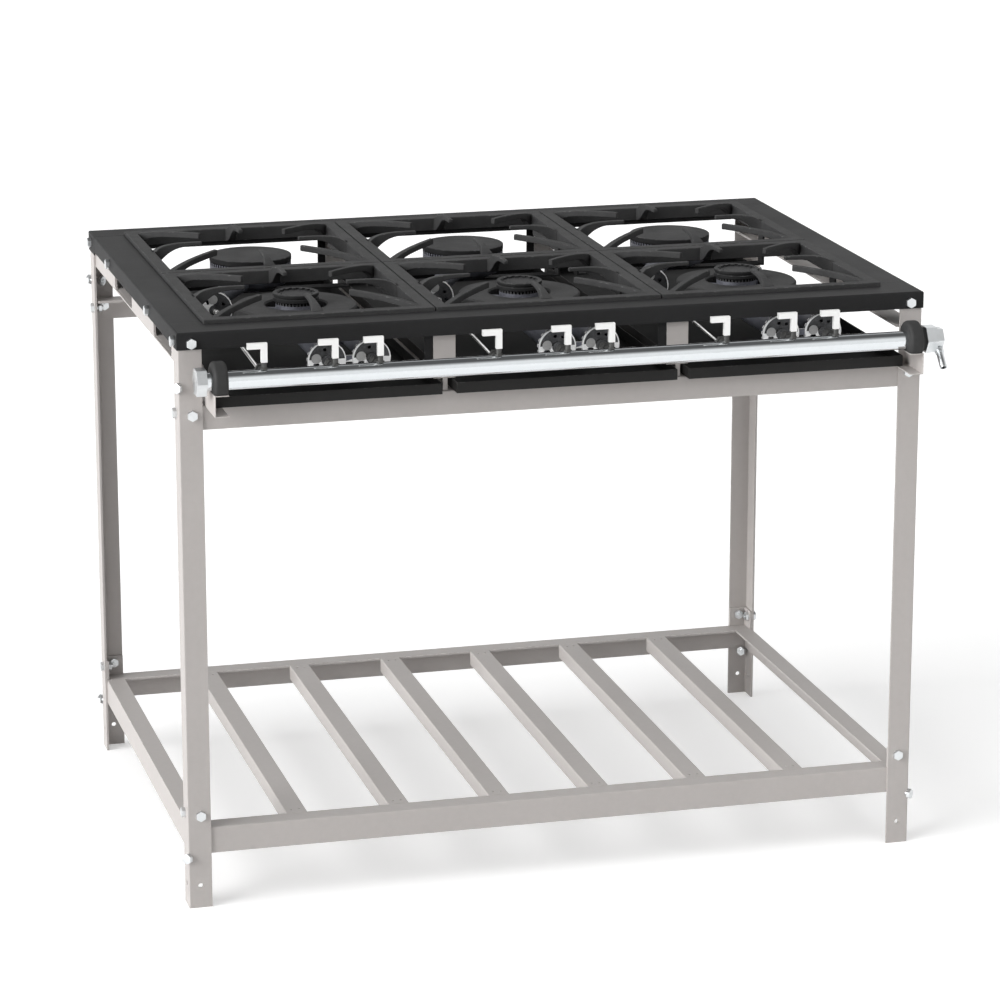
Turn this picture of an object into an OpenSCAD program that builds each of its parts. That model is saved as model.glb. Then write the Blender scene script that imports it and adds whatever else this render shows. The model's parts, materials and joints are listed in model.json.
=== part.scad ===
// Floor-standing six-burner gas stove, millimetres, +Z up, front towards -Y.
// The origin lies on the floor, under the cooktop's middle in X, and midway
// in Y between the foremost and the rearmost point of the stove.

/* [Cooktop] */
// Side of the square cell that one grate fills
grate_size = 300; // [280:1:380]
// Width of the flat border left and right of the grates
side_border = 42; // [36:1:80]
// Width of the flat border in front of and behind the grates
front_border = 44; // [40:1:80]
// Height of the border's top face above the floor
table_h = 758; // [500:1:950]
// Depth of the skirt folded down round the border
skirt_h = 22; // [16:1:30]
// Sheet thickness of the cooktop
sheet = 1.5; // [1:0.1:2]
// Outer radius of the folded edges
fold_r = 2.4; // [2.1:0.1:4]
// Depth of the step down to the ledge that carries the grates
ledge_drop = 13.3; // [10:0.1:16]
// Width of that ledge
ledge_w = 14; // [13:1:15]
// Length of the front border's return along each side
front_return = 19; // [5:1:60]
// Length of the rear border's return along each side
rear_return = 4; // [2:1:60]
// Extra depth of the rear border's skirt
rear_skirt = 4.5; // [0:0.1:6]

/* [Grates] */
// Gap between two neighbouring grates
grate_gap = 2.2; // [1.2:0.1:3]
// Width of a grate's outer bars
bar_w = 16; // [12:1:20]
// Height of a grate's outer bars
bar_h = 18; // [12:1:22]
// Rise of a finger's tip above the bars
finger_rise = 10; // [4:1:14]
// Distance of a side finger's tip from the middle of its grate
finger_clear = 67; // [62:1:90]
// Distance of a corner finger's tip from the middle of its grate
corner_clear = 83; // [76:1:100]
// Width of a finger at its root
finger_w = 9; // [7:1:12]
// Width of a finger at its tip
finger_tip_w = 6; // [4:1:7]
// Depth of a side finger at its tip
finger_tip_h = 5; // [4:1:8]

/* [Burners] */
// Radius of a rear burner's cap
rear_cap_r = 56; // [48:1:62]
// Radius of a front burner's middle cap
front_cap_r = 30; // [28:1:36]
// Outer radius of a front burner's ring
ring_r = 80; // [78:1:90]
// Inner radius of a front burner's ring
ring_hole_r = 40; // [38:1:46]
// Radius of the air shutters
shutter_r = 24.4; // [20:0.1:26]
// Outer radius of the mixing tubes
tube_r = 12; // [11:0.5:13]
// Radius of the injectors
jet_r = 4; // [3:0.1:5]

/* [Gas line] */
// Outer radius of the manifold pipe
pipe_r = 12; // [9:0.5:15]
// Wall of the manifold pipe
pipe_wall = 2; // [1.5:0.1:3]
// Distance of the pipe's axis in front of the cooktop
pipe_out = 40; // [36:1:70]
// Depth of the pipe's axis below the border's top face
pipe_drop = 54; // [48:1:70]
// Length of a lever from its spindle to its tip
lever_len = 21.3; // [16:0.1:30]
// Height of a lever
lever_h = 24.8; // [18:0.1:32]
// Width of a lever's bar
lever_w = 8; // [6:0.1:10]
// Radius of the spindle under a lever
spindle_r = 2.2; // [1.8:0.1:2.6]
// Outer radius of the rubber collars round the pipe
collar_r = 25; // [20:0.5:28]
// Width of the rubber collars
collar_w = 18.5; // [12:0.5:22]

/* [Stand] */
// Width of a leg's flanges
leg_w = 30; // [26:1:45]
// Thickness of the angle bars
angle_t = 3; // [2.5:0.1:5]
// Height of the upper rails
rail_h = 31; // [26:1:45]
// Depth of the upper rails' top below the border's top face
rail_drop = 95; // [90:1:140]
// Height of a tray
tray_h = 14; // [10:0.5:15]
// Sheet thickness of a tray
tray_t = 1.2; // [0.8:0.1:2]

/* [Shelf] */
// Height of the shelf's top face above the floor
shelf_z = 107; // [104:1:300]
// Height of the shelf's rails
shelf_rail_h = 35; // [26:1:45]
// Number of slats
slat_count = 6; // [3:1:8]
// Width of a slat
slat_w = 27.5; // [20:0.5:40]
// Depth of a slat
slat_h = 20; // [12:1:28]

/* [Hardware] */
// Width across flats of the bolts
bolt_af = 12; // [10:0.5:13]
// Height of a bolt's head and nut
bolt_h = 5; // [4:0.5:6]
// Radius of a bolt's shank
shank_r = 3; // [2.5:0.1:3.2]

/* [Hidden] */
$fn = 48;

// Seam between two sheets that lie side by side
seam = 0.3;
// Gap under and beside a piece that moves
play = 0.3;
// Air left between two welded or screwed pieces
joint_gap = 0.1;
// Running clearance of a spindle or a shutter's bore
running_gap = 0.1;
// Extra length of a cutting body past the faces that it cuts
over = 1;

// Overall sizes of the cooktop
well_x = 3 * grate_size;
well_y = 2 * grate_size;
table_x = well_x + 2 * side_border;
table_y = well_y + 2 * front_border;
ledge_z = table_h - ledge_drop;
skirt_z = table_h - skirt_h;
under_top = table_h - sheet;
leg_top = under_top - (fold_r - sheet) - 0.1;

// Radius at the root and at the corner of every angle bar
angle_r = 1.5;

// Outer faces of the legs, inside the skirt
leg_x = table_x / 2 - sheet;
leg_y = table_y / 2 - sheet;
in_x = leg_x - angle_t;
in_y = leg_y - angle_t;

// Upper rails and trays
rail_z = table_h - rail_drop;
tray_lift = 0.9;
tray_z = rail_z + tray_lift;
tray_w = grate_size - 9;
tray_front = leg_y + 17.5;
tray_back = in_y - angle_t - 3.5;
// Loose position of each tray across its column; the last keeps clear of a leg
tray_shift = [-2.3, 7.5, min(14, leg_x - leg_w - 1 - tray_w / 2 - grate_size)];
side_rail_z = table_h - 47;
side_rail_h = 40;
window_z = side_rail_z + angle_t;
window_h = 24;
window_r = 6;

// Burner columns and rows
col_x = [-grate_size, 0, grate_size];
row_front = -grate_size / 2;
row_rear = grate_size / 2;

// Manifold pipe
pipe_y = -(table_y / 2 + pipe_out);
pipe_z = table_h - pipe_drop;
pipe_left = -(table_x / 2 - 28.2);
pipe_right = table_x / 2 - 19.3;
plug_af = 33;
plug_l = 13.2;
washer_w = 4.8;
washer_r = 15;
tail_l = 35;
tail_r = 4.75;
tail_tilt = 136;
valve_x = [-90, 0, 57.5];
mouth_z = table_h - 47.3;
neck_r = 3.6;
neck_h = max(8.1, mouth_z + 8 - pipe_z - pipe_r);
neck_top = pipe_z + pipe_r + neck_h;
lever_z = neck_top + play;
lever_d = 6;

// Mixing tubes and shutters
shutter_t = 3;
mouth_y = -leg_y + 6.5;
rear_mouth_y = row_rear - 207;
rear_mouth_z = table_h - 36;
rear_turn = -70;
flange_t = 3;
flange_gap = 0.3;
cone_l = 30;
bore_r = tube_r - 3;

// Rear burner: open bowl under a lifting cap
bowl_r = rear_cap_r - 0.5;
bowl_wall = 4.5;
bowl_top = table_h - 14;
bowl_h = 38;
rear_cap_h = 7.7;

// Front burner: middle head and outer ring
head_r = front_cap_r - 3.5;
head_top = table_h - 8;
head_wall = 6.5;
front_cap_h = 10.7;
ring_top = table_h - 13;
ring_h = 20;
ring_wall = 6;

// Flame ports, and the lugs that centre a cap in its burner
port_w = 2.2;
port_h = 2.4;
rear_ports = 72;
front_ports = 36;
ring_ports = 18;
lug_l = 6;
lug_w = 8;
lug_t = 3.2;

// Burner supports
divider_w = 24;
divider_h = 14;
lip_h = 5.7;
flat_top = table_h - 55;
flat_t = 2.9;
flat_w = 20;
flat_half = grate_size / 2 - divider_w / 2 - joint_gap;
hanger_w = 11;
strut_w = 29;
strut_z = tray_z + tray_h + 1;
runner_w = 40;
// The struts stand in the gaps between the trays; a front strut's plate and a
// rear one's are welded on a little to one side
strut_slip = [-1, 7];
strut_x = [
    (col_x[0] + tray_shift[0] + col_x[1] + tray_shift[1]) / 2,
    (col_x[1] + tray_shift[1] + col_x[2] + tray_shift[2]) / 2
];

// Brackets under the pipe
bracket_t = 1.2;
bracket_w = 18;
bracket_top = pipe_z - pipe_r - 2;
bracket_z = tray_z - play - bracket_t;
bracket_front = pipe_y - 22;
bracket_left = -(leg_x - leg_w - 3.8);
bracket_right = table_x / 2 - 21.5;

// Bolts
face_bolt = 16.7;
side_bolt = 20.5;
upper_bolt_z = rail_z - 11.2;
upper_corner_z = rail_z + 25;
lower_bolt_z = shelf_z + 17.7;
lower_corner_z = shelf_z - shelf_rail_h - shank_r - 0.5;
corner_grip = 2 * angle_t * sqrt(2) + bolt_af / 2 / cos(30) + 1;
skirt_bolt_z = table_h - 14;
foot_hole_z = 30;
hole_r = shank_r + 0.2;
cleat_h = 27.5;

// Rearmost and foremost points, which centre the stove on the origin
rear_end = table_y / 2 + bolt_h;
tail_end = 2 + tail_l * sin(tail_tilt) - tail_r * cos(tail_tilt);
front_end = -pipe_y + max(collar_r, tail_end);
shift_y = (front_end - rear_end) / 2;

// Points on a circular arc in the plane
function arc(c, r, a0, a1, n = 4) = [
    for (i = [0:n])
        let (a = a0 + (a1 - a0) * i / n)
            c + r * [cos(a), sin(a)]
];

// Closed outline that steps between two radii, count times round
function teeth(count, r1, r2) = [
    for (i = [0:count - 1], k = [0:3])
        let (a = (i + [0, 0.45, 0.5, 0.95][k]) * 360 / count, r = k < 2 ? r1 : r2)
            r * [cos(a), sin(a)]
];

// Moves a piece from the cooktop's own middle to the stove's origin
module place() {
    translate([0, shift_y, 0])
        children();
}

module mirror_x(on) {
    if (on)
        mirror([1, 0, 0])
            children();
    else
        children();
}

module mirror_y(on) {
    if (on)
        mirror([0, 1, 0])
            children();
    else
        children();
}

// Box given by its low corner and its high corner
module box(lo, hi) {
    translate(lo)
        cube(hi - lo);
}

// Solid of revolution turned to lie along Y, starting at the given y
module along_y(x, y, z) {
    translate([x, y, z])
        rotate([-90, 0, 0])
            children();
}

// Round bar between two points in one plane x
module rod(p, q, r1, r2) {
    d = q - p;
    translate(p)
        rotate([0, acos(d[2] / norm(d)), atan2(d[1], d[0])])
            cylinder(r1 = r1, r2 = r2, h = norm(d));
}

module hexagon(af, h) {
    cylinder(r = af / 2 / cos(30), h = h, $fn = 6);
}

// L section with its outer corner at the origin and its flanges along +X and +Y
module angle_2d(a, b, t, r = angle_r) {
    polygon(concat(
        [[a, 0], [a, t]],
        arc([t + r, t + r], r, 270, 180),
        [[t, b], [0, b]],
        arc([r, r], r, 180, 270)
    ));
}

/* ---- cooktop ---- */

module fold_2d(w, z0, z1, r) {
    translate([-w / 2, z0])
        square([w, z1 - z0 - r]);
    translate([-w / 2 + r, z0])
        square([w - 2 * r, z1 - z0]);
    for (s = [-1, 1])
        translate([s * (w / 2 - r), z1 - r])
            circle(r);
}

// Block with the cooktop's outer shape, drawn in by a distance
module table_block(inset, z0) {
    w = table_x - 2 * inset;
    d = table_y - 2 * inset;
    r = fold_r - inset;
    intersection() {
        translate([0, d / 2, 0])
            rotate([90, 0, 0])
                linear_extrude(d)
                    fold_2d(w, z0, table_h - inset, r);
        translate([-w / 2, 0, 0])
            rotate([90, 0, 90])
                linear_extrude(w)
                    fold_2d(d, z0, table_h - inset, r);
    }
}

// The whole folded sheet before it is parted into four borders
module table_sheet(low) {
    difference() {
        union() {
            difference() {
                table_block(0, low);
                table_block(sheet, low - over);
            }
            translate([-well_x / 2 - sheet, -well_y / 2 - sheet, ledge_z - sheet])
                cube([well_x + 2 * sheet, well_y + 2 * sheet, table_h - ledge_z + sheet]);
            ledge_lips();
        }
        translate([-well_x / 2, -well_y / 2, ledge_z])
            cube([well_x, well_y, ledge_drop + over]);
        translate([-well_x / 2 + ledge_w, -well_y / 2 + ledge_w, ledge_z - sheet - over])
            cube([well_x - 2 * ledge_w, well_y - 2 * ledge_w, sheet + 2 * over]);
        skirt_bolt_holes();
    }
}

// Lips turned down along the ledge's front and rear edges
module ledge_lips() {
    x = well_x / 2 - ledge_w;
    y = well_y / 2 - ledge_w;
    for (s = [0, 1])
        mirror_y(s == 1)
            box([-x, -y - sheet, ledge_z - lip_h], [x, -y, ledge_z - sheet / 2]);
}

// Full-width border at the front or the rear, with a return at each end
module end_border(front) {
    ret = front ? front_return : rear_return;
    low = front ? skirt_z : skirt_z - rear_skirt;
    z0 = min(low, ledge_z - lip_h) - over;
    z1 = table_h + over;
    mirror_y(!front)
        intersection() {
            mirror_y(!front)
                table_sheet(low);
            union() {
                box([-table_x, -table_y, z0], [table_x, -well_y / 2, z1]);
                box([-well_x / 2, -table_y, z0], [well_x / 2, -well_y / 2 + ledge_w, z1]);
                for (s = [-1, 1])
                    box(
                        [min(s * table_x, s * well_x / 2), -table_y, z0],
                        [max(s * table_x, s * well_x / 2), -well_y / 2 + ret, z1]
                    );
            }
        }
}

// Border along one side, between the two end borders
module long_border(right) {
    low = skirt_z - over;
    high = table_h + over;
    intersection() {
        table_sheet(skirt_z);
        mirror_x(right)
            union() {
                box(
                    [-table_x, -well_y / 2 + front_return + seam, low],
                    [-well_x / 2, well_y / 2 - rear_return - seam, high]
                );
                box(
                    [-well_x / 2, -well_y / 2 + ledge_w + seam, low],
                    [-well_x / 2 + ledge_w, well_y / 2 - ledge_w - seam, ledge_z + over]
                );
            }
    }
}

module front_border() {
    color([0.2, 0.2, 0.2])
        place()
            end_border(true);
}

module rear_border() {
    color([0.2, 0.2, 0.2])
        place()
            end_border(false);
}

module left_border() {
    color([0.2, 0.2, 0.2])
        place()
            long_border(false);
}

module right_border() {
    color([0.2, 0.2, 0.2])
        place()
            long_border(true);
}

// Channel between two columns that carries the inner edges of the grates and
// ends at the lips of the ledge
module grate_dividers() {
    w = divider_w;
    h = divider_h;
    far = well_y / 2 - ledge_w - joint_gap;
    color([0.17, 0.17, 0.17])
        place()
            for (x = [-grate_size / 2, grate_size / 2])
                difference() {
                    box([x - w / 2, -far, ledge_z - h], [x + w / 2, far, ledge_z]);
                    box(
                        [x - w / 2 + sheet, -far - over, ledge_z - h - over],
                        [x + w / 2 - sheet, far + over, ledge_z - sheet]
                    );
                }
}

/* ---- stand ---- */

// Runs its children at each bolt of the leg in the corner +X, +Y, with +Z
// pointing out of the leg; the grip is the thickness under the bolt's head
module leg_bolts() {
    for (z = [upper_bolt_z, lower_bolt_z])
        translate([leg_x - face_bolt, leg_y, z])
            rotate([-90, 0, 0])
                rotate([0, 0, 90])
                    children();
    for (z = [upper_bolt_z, lower_bolt_z])
        translate([leg_x, leg_y - side_bolt, z])
            rotate([0, 90, 0])
                children();
}

module corner_bolts() {
    for (z = [upper_corner_z, lower_corner_z])
        translate([leg_x, leg_y, z])
            rotate([0, 0, 45])
                rotate([0, 90, 0])
                    children();
}

// Runs its children at each bolt of the skirt, with +Z pointing outwards:
// through the skirt and a leg at the ends, and through a side rail as well
// along the sides
module end_skirt_bolts() {
    for (sx = [-1, 1], sy = [-1, 1])
        mirror_y(sy < 0)
            mirror_x(sx < 0)
                translate([leg_x - face_bolt, table_y / 2, skirt_bolt_z])
                    rotate([-90, 0, 0])
                        rotate([0, 0, 90])
                            children();
}

module side_skirt_bolts() {
    for (sx = [-1, 1], y = [-leg_y + 18.5, -leg_y * 0.4, leg_y * 0.5, leg_y - 15.5])
        mirror_x(sx < 0)
            translate([table_x / 2, y, skirt_bolt_z])
                rotate([0, 90, 0])
                    children();
}

module skirt_bolt_holes() {
    end_skirt_bolts()
        translate([0, 0, -sheet - angle_t - over])
            cylinder(r = hole_r, h = sheet + angle_t + 2 * over);
    side_skirt_bolts()
        translate([0, 0, -sheet - 2 * angle_t - over])
            cylinder(r = hole_r, h = sheet + 2 * angle_t + 2 * over);
}

module leg_bolt_holes() {
    leg_bolts()
        translate([0, 0, -2 * angle_t - over])
            cylinder(r = hole_r, h = 2 * angle_t + 2 * over);
    corner_bolts()
        translate([0, 0, -corner_grip])
            cylinder(r = hole_r, h = corner_grip + over);
}

module leg(right, rear) {
    difference() {
        mirror_x(!right)
            mirror_y(!rear)
                difference() {
                    translate([leg_x, leg_y, 0])
                        mirror([1, 0, 0])
                            mirror([0, 1, 0])
                                linear_extrude(leg_top)
                                    angle_2d(leg_w, leg_w, angle_t);
                    leg_bolt_holes();
                    translate([leg_x - leg_w / 2, leg_y - angle_t - over, foot_hole_z])
                        rotate([-90, 0, 0])
                            cylinder(r = hole_r, h = angle_t + 2 * over);
                    translate([leg_x - angle_t - over, leg_y - leg_w / 2, foot_hole_z])
                        rotate([0, 90, 0])
                            cylinder(r = hole_r, h = angle_t + 2 * over);
                }
        skirt_bolt_holes();
    }
}

module leg_front_left() {
    color([0.72, 0.7, 0.69])
        place()
            leg(false, false);
}

module leg_front_right() {
    color([0.72, 0.7, 0.69])
        place()
            leg(true, false);
}

module leg_rear_left() {
    color([0.72, 0.7, 0.69])
        place()
            leg(false, true);
}

module leg_rear_right() {
    color([0.72, 0.7, 0.69])
        place()
            leg(true, true);
}

// Angle along X with its web outwards and its top flange inwards, at the rear
module cross_rail(top, h, flange) {
    half = in_x - angle_r - joint_gap;
    translate([-half, in_y, top])
        rotate([90, 0, 90])
            mirror([1, 0, 0])
                mirror([0, 1, 0])
                    linear_extrude(2 * half)
                        angle_2d(flange, h, angle_t);
}

module upper_rail(rear) {
    mirror_y(!rear)
        difference() {
            cross_rail(rail_z, rail_h, leg_w);
            for (s = [0, 1])
                mirror_x(s == 1)
                    leg_bolt_holes();
        }
}

module front_rail() {
    color([0.72, 0.7, 0.69])
        place()
            upper_rail(false);
}

module rear_rail() {
    color([0.72, 0.7, 0.69])
        place()
            upper_rail(true);
}

// Angle under the skirt on each side, its web pierced by two windows
module side_rails() {
    half = in_y - angle_r - joint_gap;
    windows = [[-0.83 * in_y, -0.45 * in_y], [0.04 * in_y, 0.44 * in_y]];
    color([0.72, 0.7, 0.69])
        place()
            for (s = [0, 1])
                mirror_x(s == 0)
                    difference() {
                        translate([in_x, half, side_rail_z])
                            rotate([90, 0, 0])
                                mirror([1, 0, 0])
                                    linear_extrude(2 * half)
                                        angle_2d(leg_w, side_rail_h, angle_t);
                        for (w = windows)
                            window(w[0], w[1]);
                        skirt_bolt_holes();
                    }
}

module window(y0, y1) {
    x0 = in_x - angle_t - over;
    x1 = in_x + over;
    box([x0, y0, window_z + window_r], [x1, y1, window_z + window_h]);
    box([x0, y0 + window_r, window_z], [x1, y1 - window_r, window_z + window_h]);
    for (y = [y0 + window_r, y1 - window_r])
        translate([x0, y, window_z + window_r])
            rotate([0, 90, 0])
                cylinder(r = window_r, h = x1 - x0);
}

// Struts that stand on the upper rails in the gaps between the trays, and the
// flat runner that lies between the rails under each gap
module rail_struts() {
    far = in_y - leg_w - joint_gap;
    color([0.72, 0.7, 0.69])
        place() {
            strut_places(strut_slip)
                box([-strut_w / 2, 0, strut_z], [strut_w / 2, angle_t, under_top - joint_gap]);
            strut_places([0, 0])
                box([-3, 0, rail_z + joint_gap], [3, angle_t, strut_z + over]);
            for (x = strut_x)
                box([x - runner_w / 2, -far, rail_z - angle_t], [x + runner_w / 2, far, rail_z]);
        }
}

// Flat bar under each burner, turned up at both ends and welded to the
// ledges and dividers, and a hanger plate beside each strut
module burner_supports() {
    t = angle_t;
    high = ledge_z - sheet - joint_gap;
    color([0.17, 0.17, 0.17])
        place() {
            for (x = col_x, y = [row_front, row_rear])
                translate([x, y, 0]) {
                    box([-flat_half, -flat_w / 2, flat_top - flat_t], [flat_half, flat_w / 2, flat_top]);
                    for (s = [0, 1])
                        mirror_x(s == 1)
                            box(
                                [flat_half - t, -flat_w / 2, flat_top - joint_gap],
                                [flat_half, flat_w / 2, high]
                            );
                }
            strut_places(strut_slip)
                translate([-strut_w / 2 - joint_gap - hanger_w, 0, 0])
                    box([0, 0, strut_z], [hanger_w, t, under_top - joint_gap]);
        }
}

// Runs its children behind the web of each upper rail, at each strut, moved
// along X by one amount at the front and another at the rear
module strut_places(slip) {
    for (x = strut_x, s = [0, 1])
        mirror_y(s == 1)
            translate([x + slip[s], -in_y + angle_t + joint_gap, 0])
                children();
}

/* ---- shelf ---- */

module shelf_rail(rear) {
    mirror_y(!rear)
        cross_rail(shelf_z, shelf_rail_h, leg_w - 2);
}

module shelf_front_rail() {
    color([0.72, 0.7, 0.69])
        place()
            shelf_rail(false);
}

module shelf_rear_rail() {
    color([0.72, 0.7, 0.69])
        place()
            shelf_rail(true);
}

// Side angles of the shelf and the corner cleats that bolt it to the legs
module shelf_ends() {
    far = in_y - angle_t - angle_r - joint_gap;
    near = in_y - (leg_w - 2) - joint_gap;
    w = leg_w - 5;
    color([0.72, 0.7, 0.69])
        place()
            for (s = [0, 1])
                mirror_x(s == 1) {
                    box([-in_x, -far, shelf_z - shelf_rail_h], [-in_x + angle_t, far, shelf_z - angle_t]);
                    box([-in_x, -near, shelf_z - angle_t], [-in_x + w, near, shelf_z]);
                    for (k = [0, 1])
                        mirror_y(k == 1)
                            mirror_x(true)
                                difference() {
                                    translate([in_x, in_y, shelf_z + joint_gap])
                                        mirror([1, 0, 0])
                                            mirror([0, 1, 0])
                                                linear_extrude(cleat_h)
                                                    angle_2d(w + 2, w + 2, angle_t);
                                    leg_bolt_holes();
                                }
                }
}

module shelf_slats() {
    half = in_y - (leg_w - 2) - joint_gap;
    t = angle_t;
    pitch = (table_x - 35) / (slat_count + 1);
    first = -table_x / 2 + 0.75 + pitch;
    color([0.72, 0.7, 0.69])
        place()
            for (i = [0:slat_count - 1])
                translate([first + i * pitch, 0, 0])
                    difference() {
                        translate([0, half, shelf_z])
                            rotate([90, 0, 0])
                                mirror([0, 1, 0])
                                    linear_extrude(2 * half)
                                        angle_2d(slat_w, slat_h, t);
                        for (y = [-half + 12, half - 12], x = [9, slat_w - 8])
                            translate([x, y, shelf_z - t - over])
                                cylinder(r = 1.6, h = t + 2 * over);
                    }
}

/* ---- burners ---- */

// Mouth, throat and tube of a mixing tube that starts at y = 0 and runs to +Y
module horn(length) {
    along_y(0, 0, 0)
        linear_extrude(flange_t)
            polygon(teeth(20, shutter_r + 0.6, shutter_r - 1.6));
    along_y(0, flange_t - joint_gap, 0)
        cylinder(r1 = shutter_r - 4, r2 = tube_r, h = cone_l);
    along_y(0, flange_t, 0)
        cylinder(r = tube_r, h = length - flange_t);
}

module horn_bore(length) {
    along_y(0, -over, 0)
        cylinder(r = bore_r + 6, h = flange_t + over);
    along_y(0, flange_t - joint_gap, 0)
        cylinder(r1 = bore_r + 6, r2 = bore_r, h = cone_l);
    along_y(0, flange_t, 0)
        cylinder(r = bore_r, h = length - flange_t);
}

// Flame ports cut into the top of a rim, whose top face is at z = 0
module ports(count, r, wall) {
    for (i = [0:count - 1])
        rotate([0, 0, (i + 0.5) * 360 / count])
            box([r - wall - over, -port_w / 2, -port_h], [r + over, port_w / 2, over]);
}

module rear_burner_body() {
    y0 = rear_mouth_y + shutter_t + flange_gap;
    bend_y = y0 + cone_l + flange_t + 2;
    bowl_z = bowl_top - bowl_h;
    bend = [valve_x[0], bend_y, rear_mouth_z];
    goal = [0, row_rear, rear_mouth_z];
    reach = norm(goal - bend);
    stop = bend + (goal - bend) * (reach - bowl_r + 6) / reach;
    through = bend + (goal - bend) * (reach - bowl_r + 12) / reach;
    difference() {
        union() {
            translate([0, row_rear, bowl_z])
                rotate_extrude()
                    polygon([
                        [0, 0], [bowl_r - 22, 0], [bowl_r - 6, 8], [bowl_r, 18],
                        [bowl_r, bowl_h], [0, bowl_h]
                    ]);
            translate([0, row_rear, flat_top])
                cylinder(r = 20, h = bowl_z - flat_top + over);
            translate([valve_x[0], y0, rear_mouth_z])
                horn(bend_y - y0);
            translate(bend)
                sphere(r = tube_r + 0.8);
            rod(bend, stop, tube_r - 0.3, tube_r + 1.5);
        }
        translate([0, row_rear, bowl_z])
            rotate_extrude()
                polygon([
                    [0, 5], [bowl_r - 24, 5], [bowl_r - 10, 12], [bowl_r - bowl_wall, 20],
                    [bowl_r - bowl_wall, bowl_h + over], [0, bowl_h + over]
                ]);
        translate([0, row_rear, bowl_top])
            ports(rear_ports, bowl_r, bowl_wall);
        translate([valve_x[0], y0, rear_mouth_z])
            horn_bore(bend_y - y0);
        translate(bend)
            sphere(r = bore_r + 0.4);
        rod(bend, through, bore_r - 0.3, bore_r - 0.3);
    }
}

module rear_burner_bodies() {
    color([0.33, 0.36, 0.4])
        place()
            for (x = col_x)
                translate([x, 0, 0])
                    rear_burner_body();
}

module front_burner_body() {
    y0 = mouth_y + shutter_t + flange_gap;
    x2 = valve_x[2];
    boss_y = row_front - sqrt(pow(ring_r - 15.5, 2) - pow(x2, 2));
    inner_l = row_front - 15 - y0;
    outer_l = boss_y - y0;
    ring_z = ring_top - ring_h;
    difference() {
        union() {
            translate([0, row_front, flat_top])
                cylinder(r = 20, h = head_top - 20 - flat_top);
            translate([0, row_front, head_top - 30])
                cylinder(r1 = 20, r2 = head_r, h = 8);
            translate([0, row_front, head_top - 22])
                cylinder(r = head_r, h = 22);
            translate([0, row_front, ring_z])
                difference() {
                    rotate_extrude()
                        polygon([
                            [ring_hole_r, 4], [ring_hole_r + 4, 0], [ring_r - 4, 0], [ring_r, 4],
                            [ring_r, ring_h - 2], [ring_r - 2, ring_h],
                            [ring_hole_r + 2, ring_h], [ring_hole_r, ring_h - 2]
                        ]);
                    rotate_extrude()
                        polygon([
                            [ring_hole_r + ring_wall, 4], [ring_r - ring_wall, 4],
                            [ring_r - ring_wall, ring_h - 4], [ring_hole_r + ring_wall, ring_h - 4]
                        ]);
                    for (i = [0:ring_ports - 1])
                        rotate([0, 0, i * 360 / ring_ports])
                            box(
                                [ring_hole_r - over, -port_w / 2, ring_h - 5 - port_h],
                                [ring_hole_r + ring_wall + over, port_w / 2, ring_h - 5]
                            );
                }
            for (a = [30, 150, 270])
                translate([0, row_front, ring_z + 5])
                    rotate([0, 0, a])
                        box([head_r - 3, -4, 0], [ring_hole_r + 3, 4, 8]);
            translate([0, y0, mouth_z])
                horn(inner_l);
            translate([x2, y0, mouth_z])
                horn(outer_l);
            translate([x2, boss_y, mouth_z - tube_r - 2])
                cylinder(r = tube_r + 2, h = ring_z + 7 - mouth_z + tube_r);
            box([shutter_r - 1, y0, mouth_z - 4], [x2 - shutter_r + 1, y0 + flange_t, mouth_z + 4]);
        }
        translate([0, row_front, head_top - 19])
            cylinder(r = head_r - head_wall, h = 19 + over);
        translate([0, row_front, head_top])
            ports(front_ports, head_r, head_wall);
        translate([0, row_front, mouth_z - bore_r + 2])
            cylinder(r = 14, h = head_top - mouth_z - 10);
        translate([0, y0, mouth_z])
            horn_bore(inner_l);
        translate([x2, y0, mouth_z])
            horn_bore(outer_l);
        translate([x2, boss_y, mouth_z - bore_r + 1])
            cylinder(r = bore_r + 1, h = ring_z + 7 + bore_r - mouth_z);
    }
}

module front_burner_bodies() {
    color([0.33, 0.36, 0.4])
        place()
            for (x = col_x)
                translate([x, 0, 0])
                    front_burner_body();
}

// Lugs that centre a cap in a bore and let the gas pass between them
module cap_lugs(bore) {
    r = bore - play;
    for (a = [45:90:315])
        rotate([0, 0, a])
            intersection() {
                translate([0, 0, -lug_l])
                    cylinder(r = r, h = lug_l + 0.5);
                box([r - lug_t, -lug_w / 2, -lug_l - over], [r + over, lug_w / 2, over]);
            }
}

// Flat cap that lies loose on a rear burner's rim
module rear_cap(x) {
    r = rear_cap_r;
    h = rear_cap_h;
    edge = 0.8;
    color([0.2, 0.2, 0.21])
        place()
            translate([x, row_rear, bowl_top + play]) {
                rotate_extrude()
                    polygon([[0, 0], [r - edge, 0], [r, edge], [r, h - edge], [r - edge, h], [0, h]]);
                cap_lugs(bowl_r - bowl_wall);
            }
}

// Cap of a front burner's head, with a groove round its side and a raised rim
// round a zigzag recess
module front_cap(x) {
    r = front_cap_r;
    h = front_cap_h;
    edge = 0.8;
    color([0.22, 0.22, 0.23])
        place()
            translate([x, row_front, head_top + play]) {
                difference() {
                    rotate_extrude()
                        polygon([
                            [0, 0], [r - edge, 0], [r, edge], [r, 4.5], [r - 1.2, 5.2],
                            [r - 1.2, 6.4], [r, 7.1], [r, h - edge], [r - edge, h], [0, h]
                        ]);
                    translate([0, 0, h - 2.2])
                        linear_extrude(2.2 + over)
                            polygon(teeth(16, r - 5, r - 8.5));
                }
                cap_lugs(head_r - head_wall);
            }
}

module cap_rear_left() {
    rear_cap(col_x[0]);
}

module cap_rear_mid() {
    rear_cap(col_x[1]);
}

module cap_rear_right() {
    rear_cap(col_x[2]);
}

module cap_front_left() {
    front_cap(col_x[0]);
}

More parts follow.
